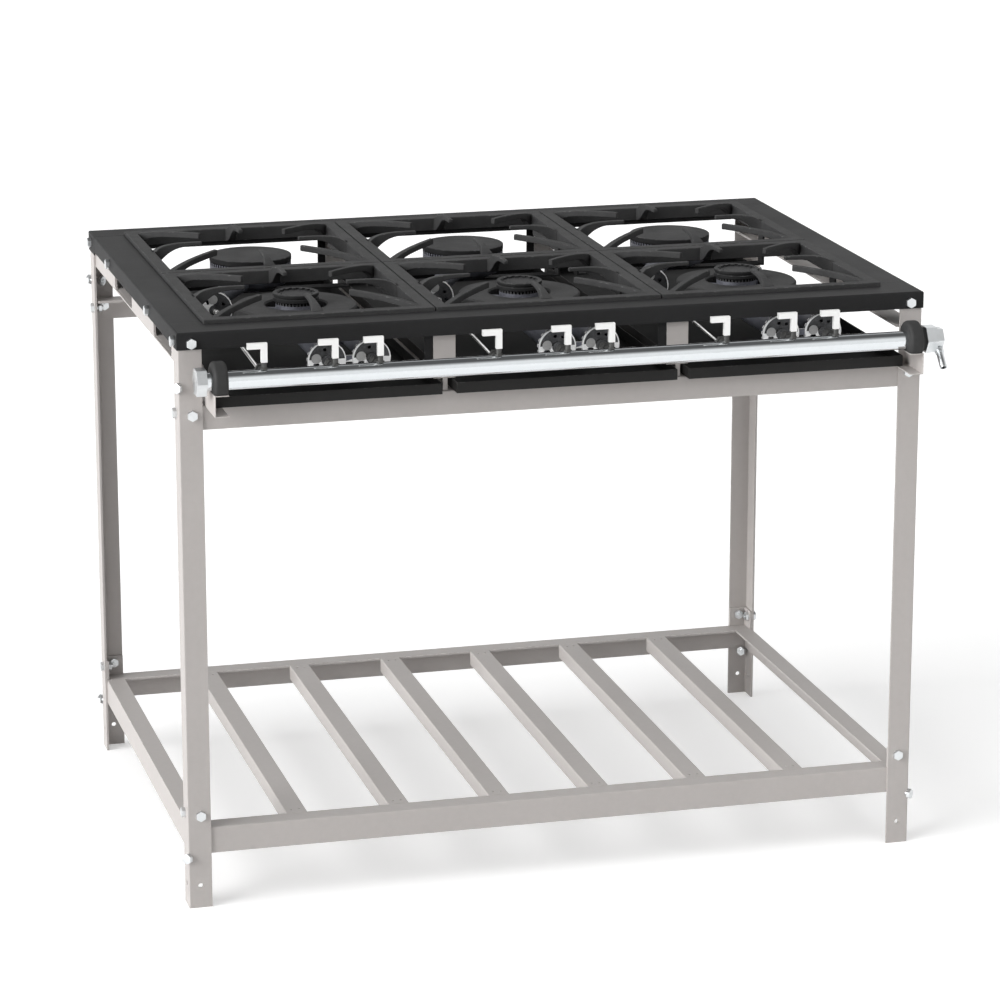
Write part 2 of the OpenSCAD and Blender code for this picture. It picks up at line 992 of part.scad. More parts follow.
module cap_front_mid() {
    front_cap(col_x[1]);
}

module cap_front_right() {
    front_cap(col_x[2]);
}

/* ---- grates ---- */

// Half width of a finger at a distance s from its root; a side finger has a
// flare where it meets its bar
function finger_half(s, len, corner) =
    (finger_tip_w + (finger_w - finger_tip_w) * (1 - s / len)) / 2 + (corner ? 0 : 4 * exp(-s / 6));

// Upper edge of a finger above the bars' top; a corner finger rises slowly
function finger_top(s, len, corner) = finger_rise * (corner
    ? (1 - exp(-s / 45)) / (1 - exp(-len / 45))
    : min(1, 1.02 * (1 - exp(-s / 12))));

// Lower edge of a finger above the bars' bottom; a corner finger is one flat
// bar with a web at its root
function finger_low(s, len, corner) = corner
    ? (bar_h + finger_top(s, len, true) - finger_tip_h - 3) * (1 - exp(-pow(s / 12, 1.6)))
    : (bar_h + finger_rise - finger_tip_h) * (1 - exp(-pow(s / 20, 1.6)));

// Arched finger whose root is at radius r1 and whose tip is at radius r0
module finger(r0, r1, corner) {
    len = r1 - r0;
    sunk = 3;
    steps = [0, 0.03, 0.07, 0.13, 0.22, 0.36, 0.55, 0.78, 1];
    s = steps * len;
    side = concat(
        [[r1 + sunk, bar_h]],
        [for (d = s) [r1 - d, bar_h + finger_top(d, len, corner)]],
        [for (i = [8:-1:0]) [r1 - s[i], finger_low(s[i], len, corner)]],
        [[r1 + sunk, 0]]
    );
    rim = [for (d = s) [r1 - d + (d == len ? 1.2 : 0), finger_half(d, len, corner)]];
    plan = concat(
        [[r1 + sunk, rim[0][1]]],
        rim,
        [[r0, finger_tip_w / 2 - 1.2], [r0, -finger_tip_w / 2 + 1.2]],
        [for (i = [8:-1:0]) [rim[i][0], -rim[i][1]]],
        [[r1 + sunk, -rim[0][1]]]
    );
    intersection() {
        translate([0, finger_w * 2, 0])
            rotate([90, 0, 0])
                linear_extrude(finger_w * 4)
                    polygon(side);
        translate([0, 0, -over])
            linear_extrude(bar_h + finger_rise + 2 * over)
                polygon(plan);
    }
}

// Cast grate: a square frame with four side fingers and four corner fingers
module grate(x, y) {
    half = (grate_size - grate_gap) / 2;
    hole = half - bar_w;
    c = 2;
    color([0.25, 0.25, 0.25])
        place()
            translate([x, y, ledge_z + play]) {
                difference() {
                    linear_extrude(bar_h)
                        polygon(concat(
                            arc([half - c, half - c], c, 0, 90),
                            arc([-half + c, half - c], c, 90, 180),
                            arc([-half + c, -half + c], c, 180, 270),
                            arc([half - c, -half + c], c, 270, 360)
                        ));
                    translate([-hole, -hole, -over])
                        cube([2 * hole, 2 * hole, bar_h + 2 * over]);
                }
                for (a = [0:90:270]) {
                    rotate([0, 0, a])
                        finger(finger_clear, hole, false);
                    rotate([0, 0, a + 45])
                        finger(corner_clear, hole * sqrt(2) - 2, true);
                }
            }
}

module grate_rear_left() {
    grate(col_x[0], row_rear);
}

module grate_rear_mid() {
    grate(col_x[1], row_rear);
}

module grate_rear_right() {
    grate(col_x[2], row_rear);
}

module grate_front_left() {
    grate(col_x[0], row_front);
}

module grate_front_mid() {
    grate(col_x[1], row_front);
}

module grate_front_right() {
    grate(col_x[2], row_front);
}

/* ---- gas line ---- */

// Valve body behind the pipe with its injector, and the neck of its spindle
module valve(x, k) {
    rear = k == 0;
    z = mouth_z;
    back = rear ? pipe_y + pipe_r + 10 : pipe_y + pipe_r + 22;
    difference() {
        union() {
            translate([x, pipe_y, pipe_z + pipe_r / 2])
                cylinder(r = neck_r, h = pipe_r / 2 + neck_h);
            translate([x, pipe_y, pipe_z + pipe_r / 2])
                hexagon(9, pipe_r / 2 + 1.5);
            along_y(x, pipe_y, z)
                cylinder(r = 6.5, h = back - pipe_y);
            along_y(x, pipe_y + pipe_r + 2, z)
                hexagon(16, 6);
            if (rear) {
                rod([x, back - over, z - 4], [x, rear_mouth_y - 16, rear_mouth_z], 2.5, 2.5);
                along_y(x, rear_mouth_y - 17, rear_mouth_z)
                    cylinder(r = jet_r, h = 17 + shutter_t + flange_t + 2);
            } else
                along_y(x, back - over, z)
                    cylinder(r = jet_r, h = mouth_y + shutter_t + flange_t + 2 - back);
        }
        translate([pipe_left, pipe_y, pipe_z])
            rotate([0, 90, 0])
                cylinder(r = pipe_r + joint_gap, h = pipe_right - pipe_left);
        translate([x, pipe_y, neck_top - neck_h + 0.5])
            cylinder(r = spindle_r + running_gap, h = neck_h + over);
    }
}

module gas_valves() {
    color([0.78, 0.77, 0.74])
        place()
            for (x = col_x, k = [0:2])
                valve(x + valve_x[k], k);
}

module manifold_pipe() {
    pipe_l = pipe_right + washer_w - pipe_left;
    color([0.8, 0.82, 0.84])
        place()
            translate([pipe_left, pipe_y, pipe_z])
                rotate([0, 90, 0])
                    difference() {
                        cylinder(r = pipe_r, h = pipe_l);
                        translate([0, 0, -over])
                            cylinder(r = pipe_r - pipe_wall, h = pipe_l + 2 * over);
                    }
}

module pipe_plug() {
    spigot = 12;
    color([0.74, 0.77, 0.79])
        place()
            translate([pipe_left - plug_l, pipe_y, pipe_z])
                rotate([0, 90, 0]) {
                    rotate([0, 0, 90])
                        hexagon(plug_af, plug_l - joint_gap);
                    cylinder(r = pipe_r - pipe_wall - joint_gap, h = plug_l + spigot);
                }
}

// Union nut, elbow and hose tail at the right end of the pipe
module gas_inlet() {
    x0 = pipe_right + washer_w + joint_gap;
    nut_l = 14.6;
    cap_l = 9;
    tail_x = x0 + nut_l + cap_l - tail_r;
    color([0.74, 0.77, 0.79])
        place()
            difference() {
                union() {
                    translate([x0, pipe_y, pipe_z])
                        rotate([0, 90, 0]) {
                            rotate([0, 0, 90])
                                hexagon(plug_af, nut_l);
                            translate([0, 0, nut_l - joint_gap])
                                rotate([0, 0, 90])
                                    hexagon(27, cap_l);
                        }
                    translate([x0 - 12, pipe_y, pipe_z])
                        rotate([0, 90, 0])
                            cylinder(r = pipe_r - pipe_wall - joint_gap, h = 12 + over);
                    translate([tail_x, pipe_y - 2, pipe_z - 8])
                        rotate([tail_tilt, 0, 0]) {
                            cylinder(r = tail_r, h = tail_l);
                            translate([0, 0, 8])
                                cylinder(r = tail_r + 1.2, h = 5);
                        }
                }
                translate([tail_x, pipe_y - 2, pipe_z - 8])
                    rotate([tail_tilt, 0, 0])
                        translate([0, 0, 8])
                            cylinder(r = tail_r - 1.4, h = tail_l);
            }
}

// Rubber collars that seat the pipe on its brackets, and the inlet's washer
module rubber_collars() {
    w = collar_w;
    r = collar_r;
    c = 5;
    bore = pipe_r + joint_gap / 2;
    color([0.17, 0.17, 0.17])
        place() {
            for (x = [bracket_left + bracket_w / 2, bracket_right - bracket_w / 2])
                difference() {
                    translate([x, pipe_y, pipe_z])
                        rotate([0, 90, 0])
                            rotate_extrude()
                                polygon(concat(
                                    [[bore, -w / 2]],
                                    arc([r - c, -w / 2 + c], c, -90, 0, 6),
                                    arc([r - c, w / 2 - c], c, 0, 90, 6),
                                    [[bore, w / 2]]
                                ));
                    box([x - w, pipe_y - 2 * r, bracket_top - r], [x + w, pipe_y + 2 * r, bracket_top]);
                }
            translate([pipe_right, pipe_y, pipe_z])
                rotate([0, 90, 0])
                    difference() {
                        cylinder(r = washer_r, h = washer_w);
                        translate([0, 0, -over])
                            cylinder(r = bore, h = washer_w + 2 * over);
                    }
        }
}

// Channel bracket open towards the middle; its lower flange lies under a tray
module bracket_channel(back) {
    t = bracket_t;
    box([0, bracket_front, bracket_z], [t, back, bracket_top]);
    box([0, bracket_front, bracket_z], [bracket_w, back, bracket_z + t]);
    box([0, bracket_front, bracket_top - t], [bracket_w, back, bracket_top]);
}

module pipe_brackets() {
    t = bracket_t;
    foot_y = -in_y + angle_t;
    color([0.72, 0.7, 0.69])
        place() {
            translate([bracket_left, 0, 0]) {
                bracket_channel(-in_y);
                box([0, -in_y - over, rail_z], [t, foot_y + 22, bracket_top]);
                box([-13, foot_y, rail_z], [t, foot_y + 22, rail_z + t]);
            }
            translate([bracket_right, 0, 0])
                mirror([1, 0, 0])
                    bracket_channel(-leg_y);
        }
}

// L-shaped lever on a round spindle; it turns about the spindle
module lever(x, k) {
    w = lever_w;
    color([0.9, 0.9, 0.9])
        place()
            translate([x + valve_x[k], pipe_y, lever_z]) {
                box([-w / 2, -lever_d / 2, 0], [w / 2, lever_d / 2, lever_h]);
                box([-lever_len, -lever_d / 2, lever_h - w + 0.5], [0, lever_d / 2, lever_h]);
                translate([0, 0, -neck_h + play + 0.5])
                    cylinder(r = spindle_r, h = neck_h);
            }
}

module lever_left_rear() {
    lever(col_x[0], 0);
}

module lever_left_inner() {
    lever(col_x[0], 1);
}

module lever_left_ring() {
    lever(col_x[0], 2);
}

module lever_mid_rear() {
    lever(col_x[1], 0);
}

module lever_mid_inner() {
    lever(col_x[1], 1);
}

module lever_mid_ring() {
    lever(col_x[1], 2);
}

module lever_right_rear() {
    lever(col_x[2], 0);
}

module lever_right_inner() {
    lever(col_x[2], 1);
}

module lever_right_ring() {
    lever(col_x[2], 2);
}

// Round air shutter that turns on the injector in front of a mixing tube
module shutter(x, k) {
    r = shutter_r;
    y = k == 0 ? rear_mouth_y : mouth_y;
    z = k == 0 ? rear_mouth_z : mouth_z;
    color([0.6, 0.62, 0.64])
        place()
            translate([x + valve_x[k], y, z])
                rotate([90, 0, 0])
                    rotate([0, 0, k == 0 ? rear_turn : 0])
                        difference() {
                            union() {
                                translate([0, 0, -shutter_t])
                                    cylinder(r = r, h = shutter_t);
                                difference() {
                                    cylinder(r = r, h = 0.8);
                                    translate([0, 0, -over])
                                        cylinder(r = r - 1.4, h = 2 * over + 0.8);
                                }
                                translate([-14, 3, -over])
                                    cylinder(r = 6.3, h = 1.6 + over);
                                intersection() {
                                    translate([0, 0, -over])
                                        cylinder(r = r - 1, h = over + 1);
                                    box([-r, -r, -over], [r, 1.5, 2 * over]);
                                }
                                cylinder(r = jet_r + 3, h = 2.2);
                            }
                            translate([0, 0, -shutter_t - over])
                                cylinder(r = jet_r + running_gap, h = shutter_t + 4 + 2 * over);
                            for (p = [[-3, 14], [7, 12.8]])
                                translate([p[0], p[1], -shutter_t - over])
                                    cylinder(r = 2.3, h = shutter_t + 2 * over + 1);
                            translate([-18, -6.5, -shutter_t - over])
                                linear_extrude(shutter_t + 2 * over + 1)
                                    slot_2d(8, 3.2);
                        }
}

module slot_2d(length, width) {
    for (x = [width / 2, length - width / 2])
        translate([x, width / 2])
            circle(width / 2);
    translate([width / 2, 0])
        square([length - width, width]);
}

module shutter_left_rear() {
    shutter(col_x[0], 0);
}

module shutter_left_inner() {
    shutter(col_x[0], 1);
}

module shutter_left_ring() {
    shutter(col_x[0], 2);
}

module shutter_mid_rear() {
    shutter(col_x[1], 0);
}

module shutter_mid_inner() {
    shutter(col_x[1], 1);
}

module shutter_mid_ring() {
    shutter(col_x[1], 2);
}

module shutter_right_rear() {
    shutter(col_x[2], 0);
}

module shutter_right_inner() {
    shutter(col_x[2], 1);
}

module shutter_right_ring() {
    shutter(col_x[2], 2);
}

/* ---- trays ---- */

// Open drip tray that lies on the upper rails and slides out to the front
module tray(i) {
    t = tray_t;
    half = tray_w / 2;
    color([0.16, 0.16, 0.16])
        place()
            translate([col_x[i] + tray_shift[i], 0, tray_z])
                difference() {
                    box([-half, -tray_front, 0], [half, tray_back, tray_h]);
                    box([-half + t, -tray_front + t, t], [half - t, tray_back - t, tray_h + over]);
                }
}

module tray_left() {
    tray(0);
}

module tray_mid() {
    tray(1);
}

module tray_right() {
    tray(2);
}

/* ---- bolts ---- */

// Shank and nut below z = 0, with the nut under the grip
module shank(grip) {
    translate([0, 0, -grip - bolt_h - 2])
        cylinder(r = shank_r, h = grip + bolt_h + 2 + over);
    translate([0, 0, -grip - bolt_h])
        hexagon(bolt_af, bolt_h);
}

module bolt(grip) {
    hexagon(bolt_af, bolt_h);
    shank(grip);
}

module bolts() {
    color([0.8, 0.81, 0.82])
        place() {
            for (sx = [0, 1], sy = [0, 1])
                mirror_x(sx == 1)
                    mirror_y(sy == 1) {
                        leg_bolts()
                            bolt(2 * angle_t);
                        corner_bolts()
                            shank(corner_grip);
                        difference() {
                            corner_bolts()
                                translate([0, 0, -1.5])
                                    hexagon(bolt_af, bolt_h + 1.5);
                            translate([leg_x - leg_w, leg_y - leg_w, 0])
                                cube([leg_w, leg_w, under_top]);
                        }
                    }
            end_skirt_bolts()
                bolt(sheet + angle_t);
            side_skirt_bolts()
                bolt(sheet + 2 * angle_t);
        }
}

front_border();
rear_border();
left_border();
right_border();
grate_dividers();
leg_front_left();
leg_front_right();
leg_rear_left();
leg_rear_right();
front_rail();
rear_rail();
side_rails();
rail_struts();
burner_supports();
shelf_front_rail();
shelf_rear_rail();
shelf_ends();
shelf_slats();
rear_burner_bodies();
front_burner_bodies();
gas_valves();
manifold_pipe();
pipe_plug();
gas_inlet();
rubber_collars();
pipe_brackets();
bolts();
grate_rear_left();
grate_rear_mid();
grate_rear_right();
grate_front_left();
grate_front_mid();
grate_front_right();
cap_rear_left();
cap_rear_mid();
cap_rear_right();
cap_front_left();
cap_front_mid();
cap_front_right();
lever_left_rear();
lever_left_inner();
lever_left_ring();
lever_mid_rear();
lever_mid_inner();
lever_mid_ring();
lever_right_rear();
lever_right_inner();
lever_right_ring();
shutter_left_rear();
shutter_left_inner();
shutter_left_ring();
shutter_mid_rear();
shutter_mid_inner();
shutter_mid_ring();
shutter_right_rear();
shutter_right_inner();
shutter_right_ring();
tray_left();
tray_mid();
tray_right();
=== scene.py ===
import json
import math

import bmesh
import bpy
from mathutils import Matrix, Vector

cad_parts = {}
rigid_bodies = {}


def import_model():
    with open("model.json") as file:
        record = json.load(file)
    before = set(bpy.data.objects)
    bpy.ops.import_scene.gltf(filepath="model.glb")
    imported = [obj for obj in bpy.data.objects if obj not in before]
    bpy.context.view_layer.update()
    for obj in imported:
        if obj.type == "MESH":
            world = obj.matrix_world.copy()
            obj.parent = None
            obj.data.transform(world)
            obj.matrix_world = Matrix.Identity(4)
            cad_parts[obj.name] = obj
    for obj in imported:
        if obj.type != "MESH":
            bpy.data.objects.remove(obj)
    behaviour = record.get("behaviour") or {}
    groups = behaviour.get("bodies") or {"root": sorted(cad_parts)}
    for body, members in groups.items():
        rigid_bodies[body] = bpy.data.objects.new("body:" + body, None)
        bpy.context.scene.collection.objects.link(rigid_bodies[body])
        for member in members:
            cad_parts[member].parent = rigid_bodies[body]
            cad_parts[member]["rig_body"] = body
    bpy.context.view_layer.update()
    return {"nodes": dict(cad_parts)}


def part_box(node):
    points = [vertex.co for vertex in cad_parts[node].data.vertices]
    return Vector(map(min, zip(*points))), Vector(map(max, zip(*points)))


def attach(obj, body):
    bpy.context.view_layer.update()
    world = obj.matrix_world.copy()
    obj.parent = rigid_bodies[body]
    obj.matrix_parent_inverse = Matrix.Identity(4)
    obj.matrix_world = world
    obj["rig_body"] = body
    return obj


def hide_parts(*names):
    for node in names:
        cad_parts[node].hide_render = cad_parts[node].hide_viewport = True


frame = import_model()
print("frame loaded:", len(frame["nodes"]), "nodes")

mm = 0.001
scene = bpy.context.scene

# the cooktop's own middle lies behind the stove's origin
tableMiddleY = 32.365


def place(x, y, z):
    return Vector((x * mm, (y + tableMiddleY) * mm, z * mm))


camera = {
    "position": (-1306.57, -4966.71, 1798.10),
    "yaw": 0.2598,
    "pitch": -0.2618,
    "lens": 139.42,
    "sensor": 36,
    "clip": (0.05, 200),
}

studio = {
    "ambient": 0.42,
    "background": 1.0,
    # heights of a ray's direction between which the mirrored studio dims, and its levels there
    "ceiling": (0.55, 0.9, 1.0, 0.12),
    "floorColor": (0.86, 0.86, 0.86, 1),
    "floorLift": 0.34,
    "floorSize": 60.0,
    # direction the light comes from, level on a face turned to it, softness in degrees
    "lamps": {
        "keyLeft": ((-1.0, -0.28, 0.38), 1.17, 50),
        "fillTop": ((0.25, -0.5, 1.0), 0.18, 70),
    },
}


def makeCamera():
    data = bpy.data.cameras.new("photoCamera")
    data.lens = camera["lens"]
    data.sensor_width = camera["sensor"]
    data.sensor_fit = "AUTO"
    data.clip_start, data.clip_end = camera["clip"]
    holder = bpy.data.objects.new("photoCamera", data)
    holder.location = place(*camera["position"])
    holder.rotation_euler = (math.pi / 2 + camera["pitch"], 0, -camera["yaw"])
    scene.collection.objects.link(holder)
    scene.camera = holder


def addNode(tree, kind, settings=None, inputs=None):
    # a node with its settings, and each input given a value or linked to a socket
    made = tree.nodes.new(kind)
    for key, value in (settings or {}).items():
        setattr(made, key, value)
    for key, value in (inputs or {}).items():
        if isinstance(value, bpy.types.NodeSocket):
            tree.links.new(value, made.inputs[key])
        else:
            made.inputs[key].default_value = value
    return made


def remap(tree, value, low, high, toLow=0.0, toHigh=1.0):
    made = addNode(
        tree,
        "ShaderNodeMapRange",
        {"clamp": True},
        {"From Min": low, "From Max": high, "To Min": toLow, "To Max": toHigh, "Value": value},
    )
    return made.outputs["Result"]


def math2(tree, operation, a, b):
    made = addNode(tree, "ShaderNodeMath", {"operation": operation}, {0: a, 1: b})
    return made.outputs[0]


def backgroundRay(tree):
    # 1 for the rays that should see the pale background, 0 for light on the object
    path = addNode(tree, "ShaderNodeLightPath")
    total = path.outputs["Is Camera Ray"]
    for name in ("Is Glossy Ray", "Is Transmission Ray"):
        total = math2(tree, "MAXIMUM", total, path.outputs[name])
    return total


def makeWorld():
    world = bpy.data.worlds.new("whiteStudio")
    world.use_nodes = True
    scene.world = world
    tree = world.node_tree
    tree.nodes.clear()
    white = {"Color": (1, 1, 1, 1), "Strength": studio["ambient"]}
    light = addNode(tree, "ShaderNodeBackground", None, white)
    # mirrored in bright metal, the studio is white at eye height and dim overhead
    spot = addNode(tree, "ShaderNodeTexCoord")
    axes = addNode(tree, "ShaderNodeSeparateXYZ", None, {0: spot.outputs["Generated"]})
    shade = remap(tree, axes.outputs["Z"], *studio["ceiling"])
    mirrored = {"Color": shade, "Strength": studio["background"]}
    shown = addNode(tree, "ShaderNodeBackground", None, mirrored)
    sides = {0: backgroundRay(tree), 1: light.outputs[0], 2: shown.outputs[0]}
    mix = addNode(tree, "ShaderNodeMixShader", None, sides)
    addNode(tree, "ShaderNodeOutputWorld", None, {"Surface": mix.outputs[0]})


def makeLamps():
    for name, (source, level, softness) in studio["lamps"].items():
        data = bpy.data.lights.new(name, "SUN")
        data.energy = level * math.pi
        data.angle = math.radians(softness)
        lamp = bpy.data.objects.new(name, data)
        lamp.rotation_euler = Vector(source).to_track_quat("Z", "Y").to_euler()
        # the top fill isn't mirrored in the pipe
        lamp.visible_glossy = name != "fillTop"
        scene.collection.objects.link(lamp)


def makeFloor():
    size = studio["floorSize"]
    mesh = bpy.data.meshes.new("studioFloor")
    corners = [(-size, -size, 0), (size, -size, 0), (size, size, 0), (-size, size, 0)]
    mesh.from_pydata(corners, [], [(0, 1, 2, 3)])
    floor = bpy.data.objects.new("studioFloor", mesh)
    scene.collection.objects.link(floor)
    material = bpy.data.materials.new("paleFloor")
    material.use_nodes = True
    tree = material.node_tree
    tree.nodes.clear()
    matte = addNode(tree, "ShaderNodeBsdfDiffuse", None, {"Color": studio["floorColor"]})
    strength = math2(tree, "MULTIPLY", backgroundRay(tree), studio["floorLift"])
    glow = {"Color": (1, 1, 1, 1), "Strength": strength}
    lift = addNode(tree, "ShaderNodeEmission", None, glow)
    both = addNode(tree, "ShaderNodeAddShader", None, {0: matte.outputs[0], 1: lift.outputs[0]})
    addNode(tree, "ShaderNodeOutputMaterial", None, {"Surface": both.outputs[0]})
    mesh.materials.append(material)


scene.view_settings.view_transform = "Standard"
makeCamera()
makeWorld()
makeLamps()
makeFloor()
print("camera, light and floor made")


def shaderGroup(name, inputs, outputs):
    group = bpy.data.node_groups.new(name, "ShaderNodeTree")
    for label, kind, value in inputs:
        socket = group.interface.new_socket(name=label, in_out="INPUT", socket_type=kind)
        socket.default_value = value
    for label, kind in outputs:
        group.interface.new_socket(name=label, in_out="OUTPUT", socket_type=kind)
    start = group.nodes.new("NodeGroupInput")
    end = group.nodes.new("NodeGroupOutput")
    return group, start, end


def mixColor(tree, factor, a, b):
    made = addNode(tree, "ShaderNodeMix", {"data_type": "RGBA"}, {0: factor, 6: a, 7: b})
    return made.outputs[2]


# The shared effects: how the wide noise of the grain follows the fine one and their shares, where
# an edge takes its painted highlight and how sharply, on which tilts and in which patches dust
# and a painted top sheen lie, and how far colour and roughness follow grain, clouds and streaks
effects = {
    "wideScale": 0.08,
    "fineShare": 0.62,
    "wideShare": 0.38,
    "highlightLimit": 0.95,
    "highlightReach": 0.7,
    "highlightSharpness": 9.0,
    "dustAndSheenTilt": (0.5, 1.0),
    "dustAndSheenPatch": (0.35, 0.75),
    "toneGrain": 0.5,
    "toneMarks": 0.25,
    "toneRange": (0.36, 0.64),
    "wearStreaks": 0.6,
    "wearClouds": 0.4,
    "wearRange": (0.3, 0.7),
    "grainRoughness": 0.6,
    "seedCount": 17,
    "seedStep": 1.3,
}


def noise(tree, inputs, dimensions="3D"):
    made = addNode(tree, "ShaderNodeTexNoise", {"noise_dimensions": dimensions}, inputs)
    return made.outputs[0]


def makeFineGrain():
    # two noises of one surface grain: the finer one carries the bump
    group, start, end = shaderGroup(
        "fineGrain",
        [("Scale", "NodeSocketFloat", 900.0), ("Roughness", "NodeSocketFloat", 0.6)],
        [("Value", "NodeSocketFloat"), ("Height", "NodeSocketFloat")],
    )
    spot = addNode(group, "ShaderNodeTexCoord").outputs["Object"]
    scale, rough = start.outputs["Scale"], start.outputs["Roughness"]
    fine = noise(group, {"Vector": spot, "Scale": scale, "Detail": 3.0, "Roughness": rough})
    wideScale = math2(group, "MULTIPLY", scale, effects["wideScale"])
    wide = noise(group, {"Vector": spot, "Scale": wideScale})
    both = math2(
        group,
        "ADD",
        math2(group, "MULTIPLY", fine, effects["fineShare"]),
        math2(group, "MULTIPLY", wide, effects["wideShare"]),
    )
    group.links.new(both, end.inputs["Value"])
    group.links.new(fine, end.inputs["Height"])
    return group


def makeHandling():
    # broad clouds of wear and smear, with a streaked part that runs along one axis
    group, start, end = shaderGroup(
        "handlingMarks",
        [
            ("Scale", "NodeSocketFloat", 6.0),
            ("Stretch", "NodeSocketVector", (1, 1, 1)),
            ("Seed", "NodeSocketFloat", 0.0),
        ],
        [("Clouds", "NodeSocketFloat"), ("Streaks", "NodeSocketFloat")],
    )
    spot = addNode(group, "ShaderNodeTexCoord").outputs["Object"]
    seed = start.outputs["Seed"]
    cloud = {"Scale": start.outputs["Scale"], "Detail": 4.0, "Roughness": 0.55}
    clouds = noise(group, {"Vector": spot, "W": seed, **cloud}, "4D")
    stretch = {0: spot, 1: start.outputs["Stretch"]}
    pulled = addNode(group, "ShaderNodeVectorMath", {"operation": "MULTIPLY"}, stretch)
    streak = {"Scale": 1.0, "Detail": 3.0, "Roughness": 0.6}
    streaks = noise(group, {"Vector": pulled.outputs[0], "W": seed, **streak}, "4D")
    group.links.new(clouds, end.inputs["Clouds"])
    group.links.new(streaks, end.inputs["Streaks"])
    return group


def makeEdgeHighlight():
    # broken line of painted highlight on the faces marked as edges
    group, start, end = shaderGroup(
        "edgeRub",
        [("Amount", "NodeSocketFloat", 0.5), ("Scale", "NodeSocketFloat", 160.0)],
        [("Mask", "NodeSocketFloat")],
    )
    mark = addNode(
        group, "ShaderNodeAttribute", {"attribute_name": "edgeFace", "attribute_type": "GEOMETRY"}
    )
    spot = addNode(group, "ShaderNodeTexCoord").outputs["Object"]
    broken = noise(group, {"Vector": spot, "Scale": start.outputs["Scale"], "Detail": 3.0})
    reach = math2(group, "MULTIPLY", start.outputs["Amount"], effects["highlightReach"])
    above = math2(
        group, "SUBTRACT", broken, math2(group, "SUBTRACT", effects["highlightLimit"], reach)
    )
    sharp = addNode(
        group,
        "ShaderNodeMath",
        {"operation": "MULTIPLY", "use_clamp": True},
        {0: above, 1: effects["highlightSharpness"]},
    )
    mask = math2(group, "MULTIPLY", sharp.outputs[0], mark.outputs["Fac"])
    group.links.new(mask, end.inputs["Mask"])
    return group


def makeDustAndSheen():
    # thin dust that settles on faces that look up, together with a painted sheen that lightens
    # those tops
    group, start, end = shaderGroup(
        "dustFall",
        [("Amount", "NodeSocketFloat", 0.3), ("Scale", "NodeSocketFloat", 40.0)],
        [("Mask", "NodeSocketFloat")],
    )
    spot = addNode(group, "ShaderNodeTexCoord")
    up = addNode(group, "ShaderNodeSeparateXYZ", None, {0: spot.outputs["Normal"]})
    patch = noise(
        group, {"Vector": spot.outputs["Object"], "Scale": start.outputs["Scale"], "Detail": 5.0}
    )
    level = math2(
        group,
        "MULTIPLY",
        remap(group, up.outputs["Z"], *effects["dustAndSheenTilt"]),
        remap(group, patch, *effects["dustAndSheenPatch"]),
    )
    mask = math2(group, "MULTIPLY", level, start.outputs["Amount"])
    group.links.new(mask, end.inputs["Mask"])
    return group


groups = {
    "grain": makeFineGrain(),
    "handling": makeHandling(),
    "edge": makeEdgeHighlight(),
    "dust": makeDustAndSheen(),
}
